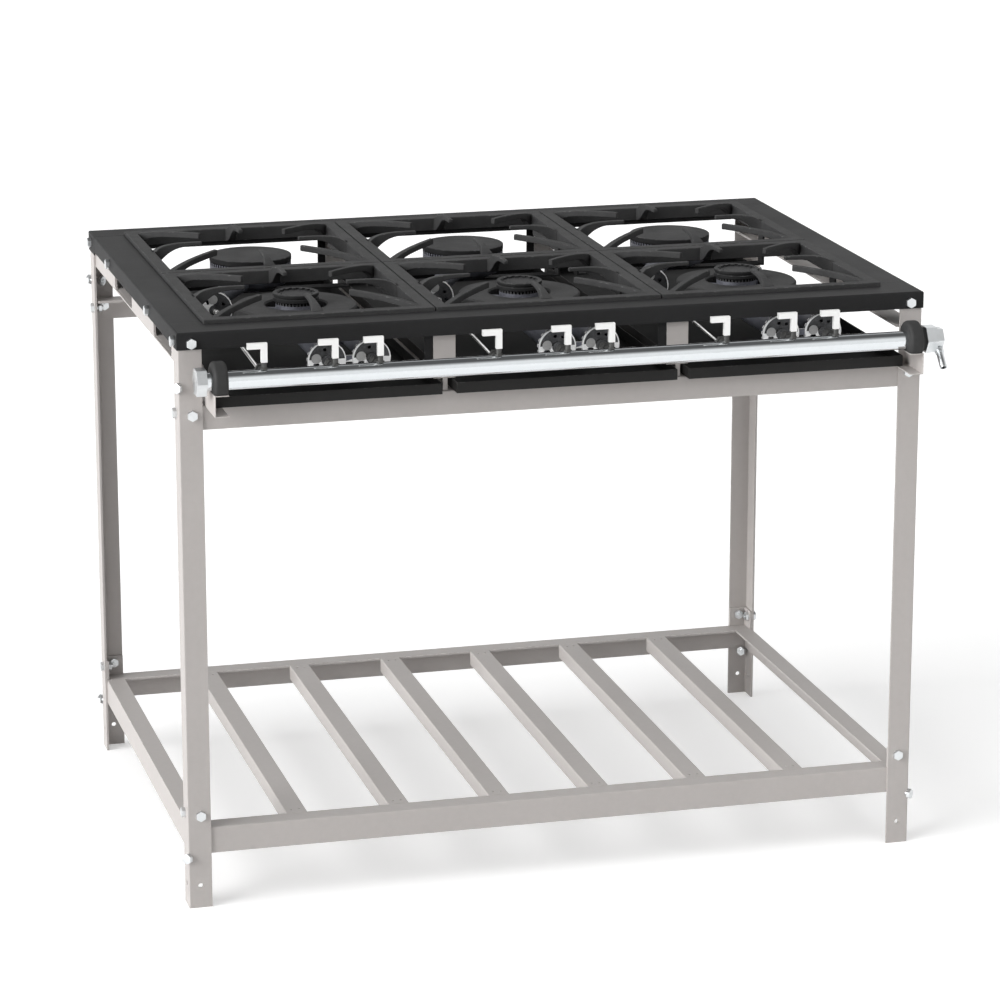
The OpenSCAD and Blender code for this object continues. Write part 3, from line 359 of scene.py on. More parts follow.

# Each finish: colour and how far its darker and lighter parts go, how rough, how metallic, its
# gloss, its grain (scale per metre, bump in metres), the scale of its clouds, the scale of its
# streaks along each axis, how far edges take a painted highlight and its colour, and its dust and
# painted top sheen
cleanMatte = {"metallic": 0.0, "specular": 0.3, "dust": (0.0, (0.3, 0.3, 0.3))}
cleanZinc = {**cleanMatte, "metallic": 1.0, "specular": 0.5}
trayBase = {
    **cleanMatte,
    "roughness": (0.5, 0.66),
    "grain": (1100, 0.00006),
    "clouds": 9.0,
    "stretch": (2, 6, 2),
}
blackIron = {
    **cleanMatte,
    "spread": 0.3,
    "roughness": (0.6, 0.8),
    "specular": 0.16,
    "grain": (900, 0.00022),
    "clouds": 22.0,
    "stretch": (10, 10, 10),
}
finishes = {
    "greyPaint": {
        **cleanMatte,
        "color": (0.458, 0.431, 0.416),
        "spread": 0.05,
        "roughness": (0.42, 0.56),
        "specular": 0.35,
        "grain": (1500, 0.00004),
        "clouds": 5.0,
        "stretch": (14, 14, 2.2),
        "edge": (0.75, (0.60, 0.58, 0.56)),
        "dust": (0.10, (0.50, 0.48, 0.46)),
    },
    "satinEnamel": {
        **cleanMatte,
        "color": (0.022, 0.022, 0.0225),
        "spread": 0.10,
        "roughness": (0.48, 0.62),
        "specular": 0.075,
        "grain": (1300, 0.00006),
        "clouds": 7.0,
        "stretch": (3, 3, 3),
        "edge": (0.55, (0.085, 0.085, 0.085)),
        "dust": (0.04, (0.12, 0.12, 0.12)),
    },
    "trayEnamel": {
        **trayBase,
        "color": (0.026, 0.0255, 0.025),
        "spread": 0.12,
        "specular": 0.10,
        "edge": (0.6, (0.1, 0.1, 0.1)),
        "dust": (0.10, (0.10, 0.10, 0.10)),
    },
    # near black for the trays' insides: painted shade
    "trayInside": {
        **trayBase,
        "color": (0.009, 0.009, 0.009),
        "spread": 0.2,
        "specular": 0.05,
        "edge": (0.4, (0.04, 0.04, 0.04)),
    },
    "castGrate": {
        **blackIron,
        "color": (0.044, 0.044, 0.0445),
        "roughness": (0.62, 0.8),
        "grain": (850, 0.00028),
        "clouds": 16.0,
        "stretch": (8, 8, 8),
        "edge": (0.5, (0.105, 0.105, 0.105)),
        "dust": (0.22, (0.10, 0.10, 0.10)),
    },
    "capIron": {
        **blackIron,
        "color": (0.025, 0.025, 0.0258),
        "roughness": (0.55, 0.72),
        "edge": (0.6, (0.11, 0.11, 0.11)),
        "dust": (0.18, (0.10, 0.10, 0.10)),
    },
    # darker iron for the caps' sides: painted shade
    "capSoot": {
        **blackIron,
        "color": (0.017, 0.017, 0.0175),
        "specular": 0.12,
        "edge": (0.5, (0.05, 0.05, 0.05)),
    },
    "toothIron": {
        **blackIron,
        "color": (0.060, 0.060, 0.062),
        "specular": 0.2,
        "edge": (0.5, (0.12, 0.12, 0.12)),
    },
    # near black for the insides of ports and holes: painted shade
    "portSoot": {
        **blackIron,
        "color": (0.003, 0.003, 0.003),
        "spread": 0.2,
        "roughness": (0.8, 0.9),
        "specular": 0.05,
        "grain": (900, 0.0001),
        "edge": (0.0, (0.01, 0.01, 0.01)),
    },
    "rimIron": {
        **cleanMatte,
        "color": (0.130, 0.133, 0.155),
        "spread": 0.55,
        "roughness": (0.4, 0.6),
        "metallic": 0.2,
        "specular": 0.35,
        "grain": (520, 0.00035),
        "clouds": 60.0,
        "stretch": (60, 60, 60),
        "edge": (0.6, (0.30, 0.31, 0.34)),
    },
    "burnerIron": {
        **cleanMatte,
        "color": (0.132, 0.137, 0.162),
        "spread": 0.28,
        "roughness": (0.42, 0.6),
        "metallic": 0.25,
        "specular": 0.35,
        "grain": (800, 0.00026),
        "clouds": 18.0,
        "stretch": (9, 9, 9),
        "edge": (0.6, (0.22, 0.23, 0.26)),
        "dust": (0.12, (0.12, 0.12, 0.13)),
    },
    "zincPipe": {
        **cleanZinc,
        "color": (0.74, 0.77, 0.79),
        "spread": 0.05,
        "roughness": (0.06, 0.11),
        "grain": (2200, 0.00001),
        "clouds": 12.0,
        "stretch": (4, 260, 260),
        "edge": (0.3, (0.9, 0.9, 0.9)),
    },
    "zincBolt": {
        **cleanZinc,
        "color": (0.72, 0.74, 0.75),
        "spread": 0.10,
        "roughness": (0.24, 0.40),
        "grain": (1800, 0.00003),
        "clouds": 70.0,
        "stretch": (60, 60, 60),
        "edge": (0.4, (0.9, 0.9, 0.9)),
    },
    # near-white zinc, lighter than bare zinc: a painted highlight and reflection
    "zincShutter": {
        **cleanZinc,
        "color": (0.94, 0.94, 0.94),
        "spread": 0.03,
        "roughness": (0.22, 0.34),
        "metallic": 0.1,
        "grain": (1000, 0.00006),
        "clouds": 60.0,
        "stretch": (90, 90, 90),
        "edge": (0.8, (0.88, 0.88, 0.88)),
    },
    "shutterFace": {
        **cleanMatte,
        "color": (0.070, 0.071, 0.074),
        "spread": 0.55,
        "roughness": (0.34, 0.55),
        "metallic": 0.4,
        "grain": (700, 0.00010),
        "clouds": 120.0,
        "stretch": (160, 160, 160),
        "edge": (0.8, (0.6, 0.6, 0.6)),
    },
    "shutterBoss": {
        **cleanMatte,
        "color": (0.36, 0.36, 0.36),
        "spread": 0.15,
        "roughness": (0.34, 0.5),
        "metallic": 0.2,
        "grain": (900, 0.00008),
        "clouds": 90.0,
        "stretch": (90, 90, 90),
        "edge": (0.4, (0.7, 0.7, 0.7)),
    },
    "neckBrass": {
        **cleanMatte,
        "color": (0.075, 0.075, 0.073),
        "spread": 0.35,
        "roughness": (0.4, 0.55),
        "metallic": 0.5,
        "grain": (1400, 0.00006),
        "clouds": 60.0,
        "stretch": (60, 60, 60),
        "edge": (0.4, (0.4, 0.4, 0.39)),
        "dust": (0.05, (0.2, 0.2, 0.2)),
    },
    "brightLever": {
        **cleanZinc,
        "color": (0.86, 0.86, 0.85),
        "spread": 0.04,
        "roughness": (0.28, 0.40),
        "metallic": 0.35,
        "grain": (1700, 0.00003),
        "clouds": 40.0,
        "stretch": (40, 40, 200),
        "edge": (0.3, (0.95, 0.95, 0.95)),
    },
    "valveNickel": {
        **cleanZinc,
        "color": (0.90, 0.90, 0.89),
        "spread": 0.08,
        "roughness": (0.12, 0.22),
        "grain": (1500, 0.00004),
        "clouds": 50.0,
        "stretch": (50, 50, 50),
        "edge": (0.4, (0.9, 0.9, 0.88)),
        "dust": (0.05, (0.2, 0.2, 0.2)),
    },
    "blackRubber": {
        **cleanMatte,
        "color": (0.030, 0.030, 0.030),
        "spread": 0.18,
        "roughness": (0.6, 0.78),
        "grain": (1600, 0.00009),
        "clouds": 40.0,
        "stretch": (20, 20, 20),
        "edge": (0.3, (0.06, 0.06, 0.06)),
        "dust": (0.25, (0.09, 0.09, 0.09)),
    },
}


def groupNode(tree, name, inputs):
    return addNode(tree, "ShaderNodeGroup", {"node_tree": groups[name]}, inputs)


def makeFinish(name, look):
    material = bpy.data.materials.new(name)
    material.use_nodes = True
    tree = material.node_tree
    shader = tree.nodes["Principled BSDF"]
    shader.inputs["Metallic"].default_value = look["metallic"]
    shader.inputs["Specular IOR Level"].default_value = look["specular"]
    grainScale, bumpHeight = look["grain"]
    grain = groupNode(
        tree, "grain", {"Scale": grainScale, "Roughness": effects["grainRoughness"]}
    )
    seed = (sum(map(ord, name)) % effects["seedCount"]) * effects["seedStep"]
    handling = groupNode(
        tree, "handling", {"Scale": look["clouds"], "Stretch": look["stretch"], "Seed": seed}
    )
    clouds, streaks = handling.outputs["Clouds"], handling.outputs["Streaks"]
    # edge faces are painted lighter along a broken line: a painted highlight
    edgeHighlightAmount, edgeHighlightColor = look["edge"]
    edge = groupNode(tree, "edge", {"Amount": edgeHighlightAmount})
    # faces that look up are lightened in patches: dust and a painted top sheen
    dustAndSheenAmount, dustAndSheenColor = look["dust"]
    dust = groupNode(tree, "dust", {"Amount": dustAndSheenAmount})
    base = Vector(look["color"])
    darker = tuple(base * (1 - look["spread"])) + (1,)
    lighter = tuple(base * (1 + look["spread"])) + (1,)
    marks = math2(tree, "MULTIPLY", math2(tree, "ADD", clouds, streaks), effects["toneMarks"])
    fine = math2(tree, "MULTIPLY", grain.outputs["Value"], effects["toneGrain"])
    tone = remap(tree, math2(tree, "ADD", fine, marks), *effects["toneRange"])
    color = mixColor(tree, tone, darker, lighter)
    color = mixColor(tree, dust.outputs["Mask"], color, dustAndSheenColor + (1,))
    color = mixColor(tree, edge.outputs["Mask"], color, edgeHighlightColor + (1,))
    tree.links.new(color, shader.inputs["Base Color"])
    worn = math2(
        tree,
        "ADD",
        math2(tree, "MULTIPLY", streaks, effects["wearStreaks"]),
        math2(tree, "MULTIPLY", clouds, effects["wearClouds"]),
    )
    rough = remap(tree, worn, *effects["wearRange"], *look["roughness"])
    tree.links.new(rough, shader.inputs["Roughness"])
    bump = addNode(
        tree,
        "ShaderNodeBump",
        None,
        {"Strength": 1.0, "Distance": bumpHeight, "Height": grain.outputs["Height"]},
    )
    tree.links.new(bump.outputs[0], shader.inputs["Normal"])
    return material


materials = {name: makeFinish(name, look) for name, look in finishes.items()}
print("finishes made:", ", ".join(materials))


# How meshes are cleaned and shaded: welding distance, the angle under which faces count as one,
# and the angles over which an edge is rounded and stays sharp in shading
meshCare = {"weld": 0.004, "flatAngle": 0.6, "roundAngle": 32.0, "sharpAngle": 38.0}


def bodyOf(node):
    return frame["nodes"][node]["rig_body"]


def pieceName(node):
    first, *rest = node.split("_")
    return first + "".join(word.capitalize() for word in rest)


def applyModifiers(piece):
    graph = bpy.context.evaluated_depsgraph_get()
    graph.update()
    made = bpy.data.meshes.new_from_object(
        piece.evaluated_get(graph), preserve_all_data_layers=True, depsgraph=graph
    )
    made.name = piece.name
    piece.modifiers.clear()
    piece.data = made


def finishMesh(piece):
    # smooth shading that leaves broad faces flat, then the modifiers are applied
    mesh = piece.data
    mesh.shade_smooth()
    mesh.set_sharp_from_angle(angle=math.radians(meshCare["sharpAngle"]))
    weighted = piece.modifiers.new("flatFaces", "WEIGHTED_NORMAL")
    weighted.keep_sharp = True
    weighted.weight = 100
    applyModifiers(piece)


def paintFaces(mesh, finish, parts=()):
    # the first finish covers the piece; each part is a finish and a test that all the
    # corners of a face must pass
    mesh.materials.clear()
    mesh.materials.append(materials[finish])
    for part, _ in parts:
        mesh.materials.append(materials[part])
    spots = [v.co / mm for v in mesh.vertices]
    for face in mesh.polygons:
        face.material_index = 0
        for index, (_, isPart) in enumerate(parts, 1):
            if all(isPart(spots[corner], face.normal) for corner in face.vertices):
                face.material_index = index
                break


def addPiece(mesh, node, name=None):
    # the piece rides with its node's body and stands for the node
    piece = bpy.data.objects.new(name or pieceName(node), mesh)
    scene.collection.objects.link(piece)
    finishMesh(piece)
    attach(piece, bodyOf(node))
    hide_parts(node)
    return piece


def edgeLayer(bm):
    # the mark of the faces that round an edge
    return bm.faces.layers.float.get("edgeFace") or bm.faces.layers.float.new("edgeFace")


def cadCopy(node, edge, segments=2):
    # a merged copy of a CAD node with its sharp edges rounded and marked as edge faces
    source = frame["nodes"][node].data
    bare = bpy.data.meshes.new(node + "Copy")
    bare.from_pydata(
        [v.co.copy() for v in source.vertices], [], [list(p.vertices) for p in source.polygons]
    )
    bm = bmesh.new()
    bm.from_mesh(bare)
    weld = meshCare["weld"] * mm
    bmesh.ops.remove_doubles(bm, verts=bm.verts, dist=weld)
    bmesh.ops.dissolve_degenerate(bm, dist=weld, edges=bm.edges)
    flat = math.radians(meshCare["flatAngle"])
    bmesh.ops.dissolve_limit(bm, angle_limit=flat, verts=bm.verts[:], edges=bm.edges[:])
    roundEdges(bm, edge, segments)
    bm.to_mesh(bare)
    bm.free()
    return bare


def roundEdges(bm, edge, segments=2):
    mark = edgeLayer(bm)
    limit = math.radians(meshCare["roundAngle"])
    sharp = [e for e in bm.edges if e.is_manifold and e.calc_face_angle(0) > limit]
    if not edge or not sharp:
        return
    made = bmesh.ops.bevel(
        bm,
        geom=sharp,
        offset=edge * mm,
        offset_type="OFFSET",
        segments=segments,
        profile=0.5,
        affect="EDGES",
        clamp_overlap=True,
    )
    for face in made["faces"]:
        if face.is_valid:
            face[mark] = 1.0


def sizeOf(node):
    # middle and low and high corners of a CAD node in millimetres
    low, high = (Vector(corner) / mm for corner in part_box(node))
    return (low + high) / 2, low, high


columns = ("left", "mid", "right")
rows = ("rear", "front")
ways = ("rear", "inner", "ring")

# How each plain node is finished: its finish and its edge radius
plainPieces = {
    "front_border": ("satinEnamel", 0.7),
    "rear_border": ("satinEnamel", 0.7),
    "left_border": ("satinEnamel", 0.7),
    "right_border": ("satinEnamel", 0.7),
    "grate_dividers": ("satinEnamel", 0.4),
    "leg_front_left": ("greyPaint", 0.5),
    "leg_front_right": ("greyPaint", 0.5),
    "leg_rear_left": ("greyPaint", 0.5),
    "leg_rear_right": ("greyPaint", 0.5),
    "front_rail": ("greyPaint", 0.5),
    "rear_rail": ("greyPaint", 0.5),
    "side_rails": ("greyPaint", 0.5),
    "rail_struts": ("greyPaint", 0.4),
    "burner_supports": ("satinEnamel", 0.4),
    "shelf_front_rail": ("greyPaint", 0.5),
    "shelf_rear_rail": ("greyPaint", 0.5),
    "shelf_ends": ("greyPaint", 0.5),
    "manifold_pipe": ("zincPipe", 0.3),
    "pipe_plug": ("zincBolt", 0.6),
    "gas_inlet": ("zincBolt", 0.5),
    "rubber_collars": ("blackRubber", 0.6),
    "pipe_brackets": ("greyPaint", 0.3),
}
for column in columns:
    for way in ways:
        plainPieces[f"lever_{column}_{way}"] = ("brightLever", 0.6)

# The side borders stop short of the front and rear ones, so a fine seam shows
seam = {"gap": 0.5, "reach": 1.5}


def openSeams(mesh, node):
    _, low, high = sizeOf(node)
    for v in mesh.vertices:
        if v.co.y < (low.y + seam["reach"]) * mm:
            v.co.y += seam["gap"] * mm
        elif v.co.y > (high.y - seam["reach"]) * mm:
            v.co.y -= seam["gap"] * mm


for node, (finish, edge) in plainPieces.items():
    mesh = cadCopy(node, edge)
    paintFaces(mesh, finish)
    if node in ("left_border", "right_border"):
        openSeams(mesh, node)
    addPiece(mesh, node)
print("plain pieces:", len(plainPieces))


# Geometry Nodes helpers: a tree with named inputs, its last nodes, and its run on a mesh
def geoTree(name, inputs):
    tree = bpy.data.node_groups.new(name, "GeometryNodeTree")
    for side in ("OUTPUT", "INPUT"):
        tree.interface.new_socket(
            name="Geometry", in_out=side, socket_type="NodeSocketGeometry"
        )
    for label, kind in inputs:
        tree.interface.new_socket(name=label, in_out="INPUT", socket_type="NodeSocket" + kind)
    return tree, tree.nodes.new("NodeGroupInput"), tree.nodes.new("NodeGroupOutput")


def endTree(tree, geometry, material, end):
    real = addNode(tree, "GeometryNodeRealizeInstances", None, {0: geometry})
    painted = addNode(
        tree, "GeometryNodeSetMaterial", None, {"Geometry": real.outputs[0], "Material": material}
    )
    tree.links.new(painted.outputs[0], end.inputs[0])


def joined(tree, parts):
    join = tree.nodes.new("GeometryNodeJoinGeometry")
    for part in parts:
        tree.links.new(part, join.inputs[0])
    return join.outputs[0]


def repeated(tree, item, points, inputs=None):
    # the geometry of an object input, repeated on points
    shown = addNode(tree, "GeometryNodeObjectInfo", None, {"Object": item})
    base = {"Points": points, "Instance": shown.outputs["Geometry"]}
    placed = addNode(tree, "GeometryNodeInstanceOnPoints", None, {**base, **(inputs or {})})
    return placed.outputs[0]


def runTree(tree, base, values):
    # the mesh that the tree makes of a base mesh, with its inputs set by identifier
    holder = bpy.data.objects.new("treeHolder", base)
    scene.collection.objects.link(holder)
    modifier = holder.modifiers.new("tree", "NODES")
    modifier.node_group = tree
    for item in tree.interface.items_tree:
        if item.in_out == "INPUT" and item.name in values:
            modifier[item.identifier] = values[item.name]
    applyModifiers(holder)
    made = holder.data
    bpy.data.objects.remove(holder)
    return made


items = []


def itemObject(name, bm):
    # a small object that a tree repeats; it is removed when the trees have run
    edgeLayer(bm)
    bmesh.ops.recalc_face_normals(bm, faces=bm.faces[:])
    mesh = bpy.data.meshes.new(name)
    bm.to_mesh(mesh)
    bm.free()
    item = bpy.data.objects.new(name, mesh)
    scene.collection.objects.link(item)
    items.append(item)
    return item


# Cast grate: square frame, and fingers that arch up from the middle of its sides and its corners
grate = {
    "barWidth": 16.0,
    "barHeight": 18.0,
    "barEdge": 1.1,
    "rise": 10.0,
    "sideTip": 67.0,
    "cornerTip": 83.0,
    "rootWidth": 9.0,
    "tipWidth": 6.0,
    "tipDepth": 5.0,
    "flare": 4.0,
    "fingerEdge": 1.2,
    # lengths over which a finger's flare, its arch and its free lower edge build up from the root
    "flareLength": 6,
    "sideArch": 12,
    "cornerArch": 45,
    "sideFree": 20,
    "cornerFree": 12,
    "freePower": 1.6,
    "archSpare": 1.02,
    "cornerHang": 3,
    "cornerInset": 2,
    "sunk": 3.0,
    "steps": 26,
    "stepPower": 1.35,
    "count": 4,
}


def fingerSection(s, length, corner):
    # half width, lower edge and upper edge of a finger at a distance s from its root
    part = s / length
    half = (grate["tipWidth"] + (grate["rootWidth"] - grate["tipWidth"]) * (1 - part)) / 2
    reach = grate["barHeight"] + grate["rise"] - grate["tipDepth"]
    if corner:
        arch = grate["cornerArch"]
        top = grate["rise"] * (1 - math.exp(-s / arch)) / (1 - math.exp(-length / arch))
        reach += top - grate["rise"] - grate["cornerHang"]
        free = grate["cornerFree"]
    else:
        half += grate["flare"] * math.exp(-s / grate["flareLength"])
        climb = grate["archSpare"] * (1 - math.exp(-s / grate["sideArch"]))
        top = grate["rise"] * min(1, climb)
        free = grate["sideFree"]
    low = reach * (1 - math.exp(-((s / free) ** grate["freePower"])))
    return half, low, grate["barHeight"] + top


def roundedSection(half, low, top, edge):
    # outline of a rounded bar, with four points on the curve at each corner
    edge = min(edge, half * 0.6, (top - low) * 0.4)
    points = []
    for y, z, turn in ((half, top, 0), (-half, top, 90), (-half, low, 180), (half, low, 270)):
        middleY = y - math.copysign(edge, y)
        middleZ = z - edge if z == top else z + edge
        for k in range(4):
            angle = math.radians(turn + k * 30)
            points.append((middleY + edge * math.cos(angle), middleZ + edge * math.sin(angle)))
    return points


def fingerItem(name, tip, root, corner):
    length = root - tip
    steps = grate["steps"]
    tipEdge = grate["fingerEdge"]
    spots = [(-grate["sunk"], 0.0)]
    spots += [(length * (i / steps) ** grate["stepPower"], 0.0) for i in range(steps)]
    # the tip is rounded off by sections that shrink
    for a in (0.0, math.pi / 6, math.pi / 3, math.pi / 2):
        spots.append((length - tipEdge * (1 - math.sin(a)), tipEdge * (1 - math.cos(a))))
    bm = bmesh.new()
    mark = edgeLayer(bm)
    loops = []
    for s, inset in spots:
        half, low, top = fingerSection(max(s, 0), length, corner)
        outline = roundedSection(half - inset, low + inset, top - inset, tipEdge)
        loops.append([bm.verts.new(((root - s) * mm, y * mm, z * mm)) for y, z in outline])
    count = len(loops[0])
    for first, second in zip(loops, loops[1:]):
        for i in range(count):
            j = (i + 1) % count
            face = bm.faces.new((first[i], first[j], second[j], second[i]))
            face[mark] = 0.0 if i % 4 == 3 else 1.0
    bm.faces.new(loops[0])
    bm.faces.new(loops[-1])
    return itemObject(name, bm)


def frameItem(half):
    # square ring with rounded edges
    bm = bmesh.new()
    rings = []
    for z in (0, grate["barHeight"]):
        for side in (half, half - grate["barWidth"]):
            corners = ((side, side), (-side, side), (-side, -side), (side, -side))
            rings.append([bm.verts.new((x * mm, y * mm, z * mm)) for x, y in corners])
    outerLow, innerLow, outerTop, innerTop = rings
    for i in range(4):
        j = (i + 1) % 4
        bm.faces.new((outerLow[i], outerLow[j], outerTop[j], outerTop[i]))
        bm.faces.new((innerLow[j], innerLow[i], innerTop[i], innerTop[j]))
        bm.faces.new((outerTop[i], outerTop[j], innerTop[j], innerTop[i]))
        bm.faces.new((outerLow[j], outerLow[i], innerLow[i], innerLow[j]))
    bmesh.ops.recalc_face_normals(bm, faces=bm.faces[:])
    roundEdges(bm, grate["barEdge"], 3)
    return itemObject("grateFrame", bm)


def makeGrateTree():
    tree, start, end = geoTree(
        "castGrate",
        [
            ("Frame", "Object"),
            ("Side Finger", "Object"),
            ("Corner Finger", "Object"),
            ("Fingers", "Int"),
            ("Middle", "Vector"),
            ("Finish", "Material"),
        ],
    )
    index = tree.nodes.new("GeometryNodeInputIndex").outputs[0]
    step = math2(tree, "DIVIDE", 2 * math.pi, start.outputs["Fingers"])
    parts = []
    for label, offset in (("Side Finger", 0.0), ("Corner Finger", 0.5)):
        spots = addNode(tree, "GeometryNodePoints", None, {"Count": start.outputs["Fingers"]})
        angle = math2(tree, "MULTIPLY", math2(tree, "ADD", index, offset), step)
        turn = addNode(tree, "ShaderNodeCombineXYZ", None, {"Z": angle})
        rotation = {"Rotation": turn.outputs[0]}
        parts.append(repeated(tree, start.outputs[label], spots.outputs[0], rotation))
    ring = addNode(tree, "GeometryNodeObjectInfo", None, {"Object": start.outputs["Frame"]})
    parts.append(ring.outputs["Geometry"])
    moved = addNode(
        tree,
        "GeometryNodeTransform",
        None,
        {"Geometry": joined(tree, parts), "Translation": start.outputs["Middle"]},
    )
    endTree(tree, moved.outputs[0], start.outputs["Finish"], end)
    return tree


def makeGrates():
    _, low, high = sizeOf("grate_front_left")
    half = (high.x - low.x) / 2
    inner = half - grate["barWidth"]
    frameObject = frameItem(half)
    side = fingerItem("sideFinger", grate["sideTip"], inner, False)
    diagonal = inner * math.sqrt(2) - grate["cornerInset"]
    corner = fingerItem("cornerFinger", grate["cornerTip"], diagonal, True)
    tree = makeGrateTree()
    for row in rows:
        for column in columns:
            node = f"grate_{row}_{column}"
            middle, low, _ = sizeOf(node)
            mesh = runTree(
                tree,
                bpy.data.meshes.new(node),
                {
                    "Frame": frameObject,
                    "Side Finger": side,
                    "Corner Finger": corner,
                    "Fingers": grate["count"],
                    "Middle": Vector((middle.x, middle.y, low.z)) * mm,
                    "Finish": materials["castGrate"],
                },
            )
            addPiece(mesh, node)
    print("grates made")


makeGrates()

# Bolts: chamfered hexagon head, nut and shank, at every bolted place of legs and skirt
bolts = {
    "acrossFlats": 12.0,
    "height": 5.0,
    "faceShare": 0.95,
    "coneShare": 0.97,
    "coneSlope": 0.6,
    "leastDrop": 0.25,
    "turns": 36,
    "shank": 3.0,
    "shankSides": 20,
    "tail": 7.0,
    "legPlace": 16.7,
    "legSidePlace": 20.5,
    "legHeights": (124.7, 651.8),
    "cornerHeights": (68.5, 688.0),
    "legGrip": 6.0,
    "cornerGrip": 16.41,
    "skirtHeight": 744.0,
    "skirtGrip": 4.5,
    "skirtSideGrip": 7.5,
    "skirtSidePlaces": (-324.0, -137.0, 171.25, 327.0),
}


def hexItem(name, double):
    # hexagon with its corners cut to a cone on top, or on both ends
    flat = bolts["acrossFlats"] / 2
    height = bolts["height"]
    face = flat * bolts["faceShare"]
    turns = bolts["turns"]
    outlines = [[] for _ in range(4)]
    for i in range(turns):
        angle = 2 * math.pi * i / turns
        fromFlat = (math.degrees(angle) % 60) - 30
        radius = flat / math.cos(math.radians(fromFlat))
        cone = (radius - flat * bolts["coneShare"]) * bolts["coneSlope"]
        drop = max(bolts["leastDrop"], cone)
        low = drop if double else 0.0
        seat = face if double else radius
        levels = ((seat, 0.0), (radius, low), (radius, height - drop), (face, height))
        for outline, (r, z) in zip(outlines, levels):
            outline.append((r * math.cos(angle) * mm, r * math.sin(angle) * mm, z * mm))
    bm = bmesh.new()
    loops = [[bm.verts.new(spot) for spot in outline] for outline in outlines]
    for lower, upper in zip(loops, loops[1:]):
        steps = [(a.co - b.co).length for a, b in zip(lower, upper)]
        for i in range(turns):
            j = (i + 1) % turns
            if max(steps[i], steps[j]) > 0.0001 * mm:
                bm.faces.new((lower[i], lower[j], upper[j], upper[i]))
    bm.faces.new(loops[0][::-1])
    bm.faces.new(loops[-1])
    bmesh.ops.remove_doubles(bm, verts=bm.verts[:], dist=0.001 * mm)
    return itemObject(name, bm)


def shankItem():
    # one metre long, so that its scale is its length
    bm = bmesh.new()
    radius = bolts["shank"] * mm
    sides = bolts["shankSides"]
    made = bmesh.ops.create_cone(
        bm, cap_ends=True, segments=sides, radius1=radius, radius2=radius, depth=1.0
    )
    bmesh.ops.translate(bm, verts=made["verts"], vec=(0, 0, -0.5))
    return itemObject("boltShank", bm)


def boltPlaces():
    # place, direction out of the metal, and grip of each bolt
    _, low, high = sizeOf("leg_front_right")
    legX = high.x
    legY = tableMiddleY - low.y
    besideX = legX - bolts["legPlace"]
    besideY = legY - bolts["legSidePlace"]
    _, low, high = sizeOf("front_border")
    tableX = high.x
    tableY = tableMiddleY - low.y
    slant = math.sqrt(0.5)
    places = []
    for sx in (-1, 1):
        for sy in (-1, 1):
            for z in bolts["legHeights"]:
                places.append(((sx * besideX, sy * legY, z), (0, sy, 0), bolts["legGrip"]))
                places.append(((sx * legX, sy * besideY, z), (sx, 0, 0), bolts["legGrip"]))
            outward = (sx * slant, sy * slant, 0)
            for z in bolts["cornerHeights"]:
                places.append(((sx * legX, sy * legY, z), outward, bolts["cornerGrip"]))
            spot = (sx * besideX, sy * tableY, bolts["skirtHeight"])
            places.append((spot, (0, sy, 0), bolts["skirtGrip"]))
        for y in bolts["skirtSidePlaces"]:
            spot = (sx * tableX, y, bolts["skirtHeight"])
            places.append((spot, (sx, 0, 0), bolts["skirtSideGrip"]))
    return places


def makeBoltTree():
    tree, start, end = geoTree(
        "boltSet",
        [
            ("Head", "Object"),
            ("Nut", "Object"),
            ("Shank", "Object"),
            ("Bolt Height", "Float"),
            ("Tail", "Float"),
            ("Finish", "Material"),
        ],
    )
    turn = addNode(
        tree, "GeometryNodeInputNamedAttribute", {"data_type": "FLOAT_VECTOR"}, {"Name": "turn"}
    )
    grip = addNode(
        tree, "GeometryNodeInputNamedAttribute", {"data_type": "FLOAT"}, {"Name": "grip"}
    ).outputs[0]
    rotation = addNode(tree, "FunctionNodeEulerToRotation", None, {0: turn.outputs[0]}).outputs[0]
    outward = addNode(
        tree, "FunctionNodeRotateVector", None, {"Vector": (0, 0, 1), "Rotation": rotation}
    ).outputs[0]
    back = math2(tree, "MULTIPLY", math2(tree, "ADD", grip, start.outputs["Bolt Height"]), -1.0)
    nutShift = addNode(
        tree, "ShaderNodeVectorMath", {"operation": "SCALE"}, {0: outward, "Scale": back}
    )
    behind = addNode(
        tree,
        "GeometryNodeSetPosition",
        None,
        {"Geometry": start.outputs["Geometry"], "Offset": nutShift.outputs[0]},
    )
    length = addNode(
        tree,
        "ShaderNodeCombineXYZ",
        None,
        {"X": 1.0, "Y": 1.0, "Z": math2(tree, "ADD", grip, start.outputs["Tail"])},
    )
    parts = []
    for label, points, scale in (
        ("Head", start.outputs["Geometry"], (1, 1, 1)),
        ("Nut", behind.outputs[0], (1, 1, 1)),
        ("Shank", start.outputs["Geometry"], length.outputs[0]),
    ):
        placing = {"Rotation": rotation, "Scale": scale}
        parts.append(repeated(tree, start.outputs[label], points, placing))
    endTree(tree, joined(tree, parts), start.outputs["Finish"], end)
    return tree


def makeBolts():
    places = boltPlaces()
    spots = bpy.data.meshes.new("boltSpots")
    spots.from_pydata([place(*spot) for spot, _, _ in places], [], [])
    up = Vector((0, 0, 1))
    turns = []
    for _, outward, _ in places:
        # one corner of each head points up
        z = Vector(outward)
        turns.extend(Matrix((up, z.cross(up), z)).transposed().to_euler())
    spots.attributes.new("turn", "FLOAT_VECTOR", "POINT").data.foreach_set("vector", turns)
    grips = [grip * mm for _, _, grip in places]
    spots.attributes.new("grip", "FLOAT", "POINT").data.foreach_set("value", grips)
    mesh = runTree(
        makeBoltTree(),
        spots,
        {
            "Head": hexItem("boltHead", False),
            "Nut": hexItem("boltNut", True),
            "Shank": shankItem(),
            "Bolt Height": bolts["height"] * mm,
            "Tail": bolts["tail"] * mm,
            "Finish": materials["zincBolt"],
        },
    )
    addPiece(mesh, "bolts", "standBolts")
    print("bolts made:", len(places))


makeBolts()


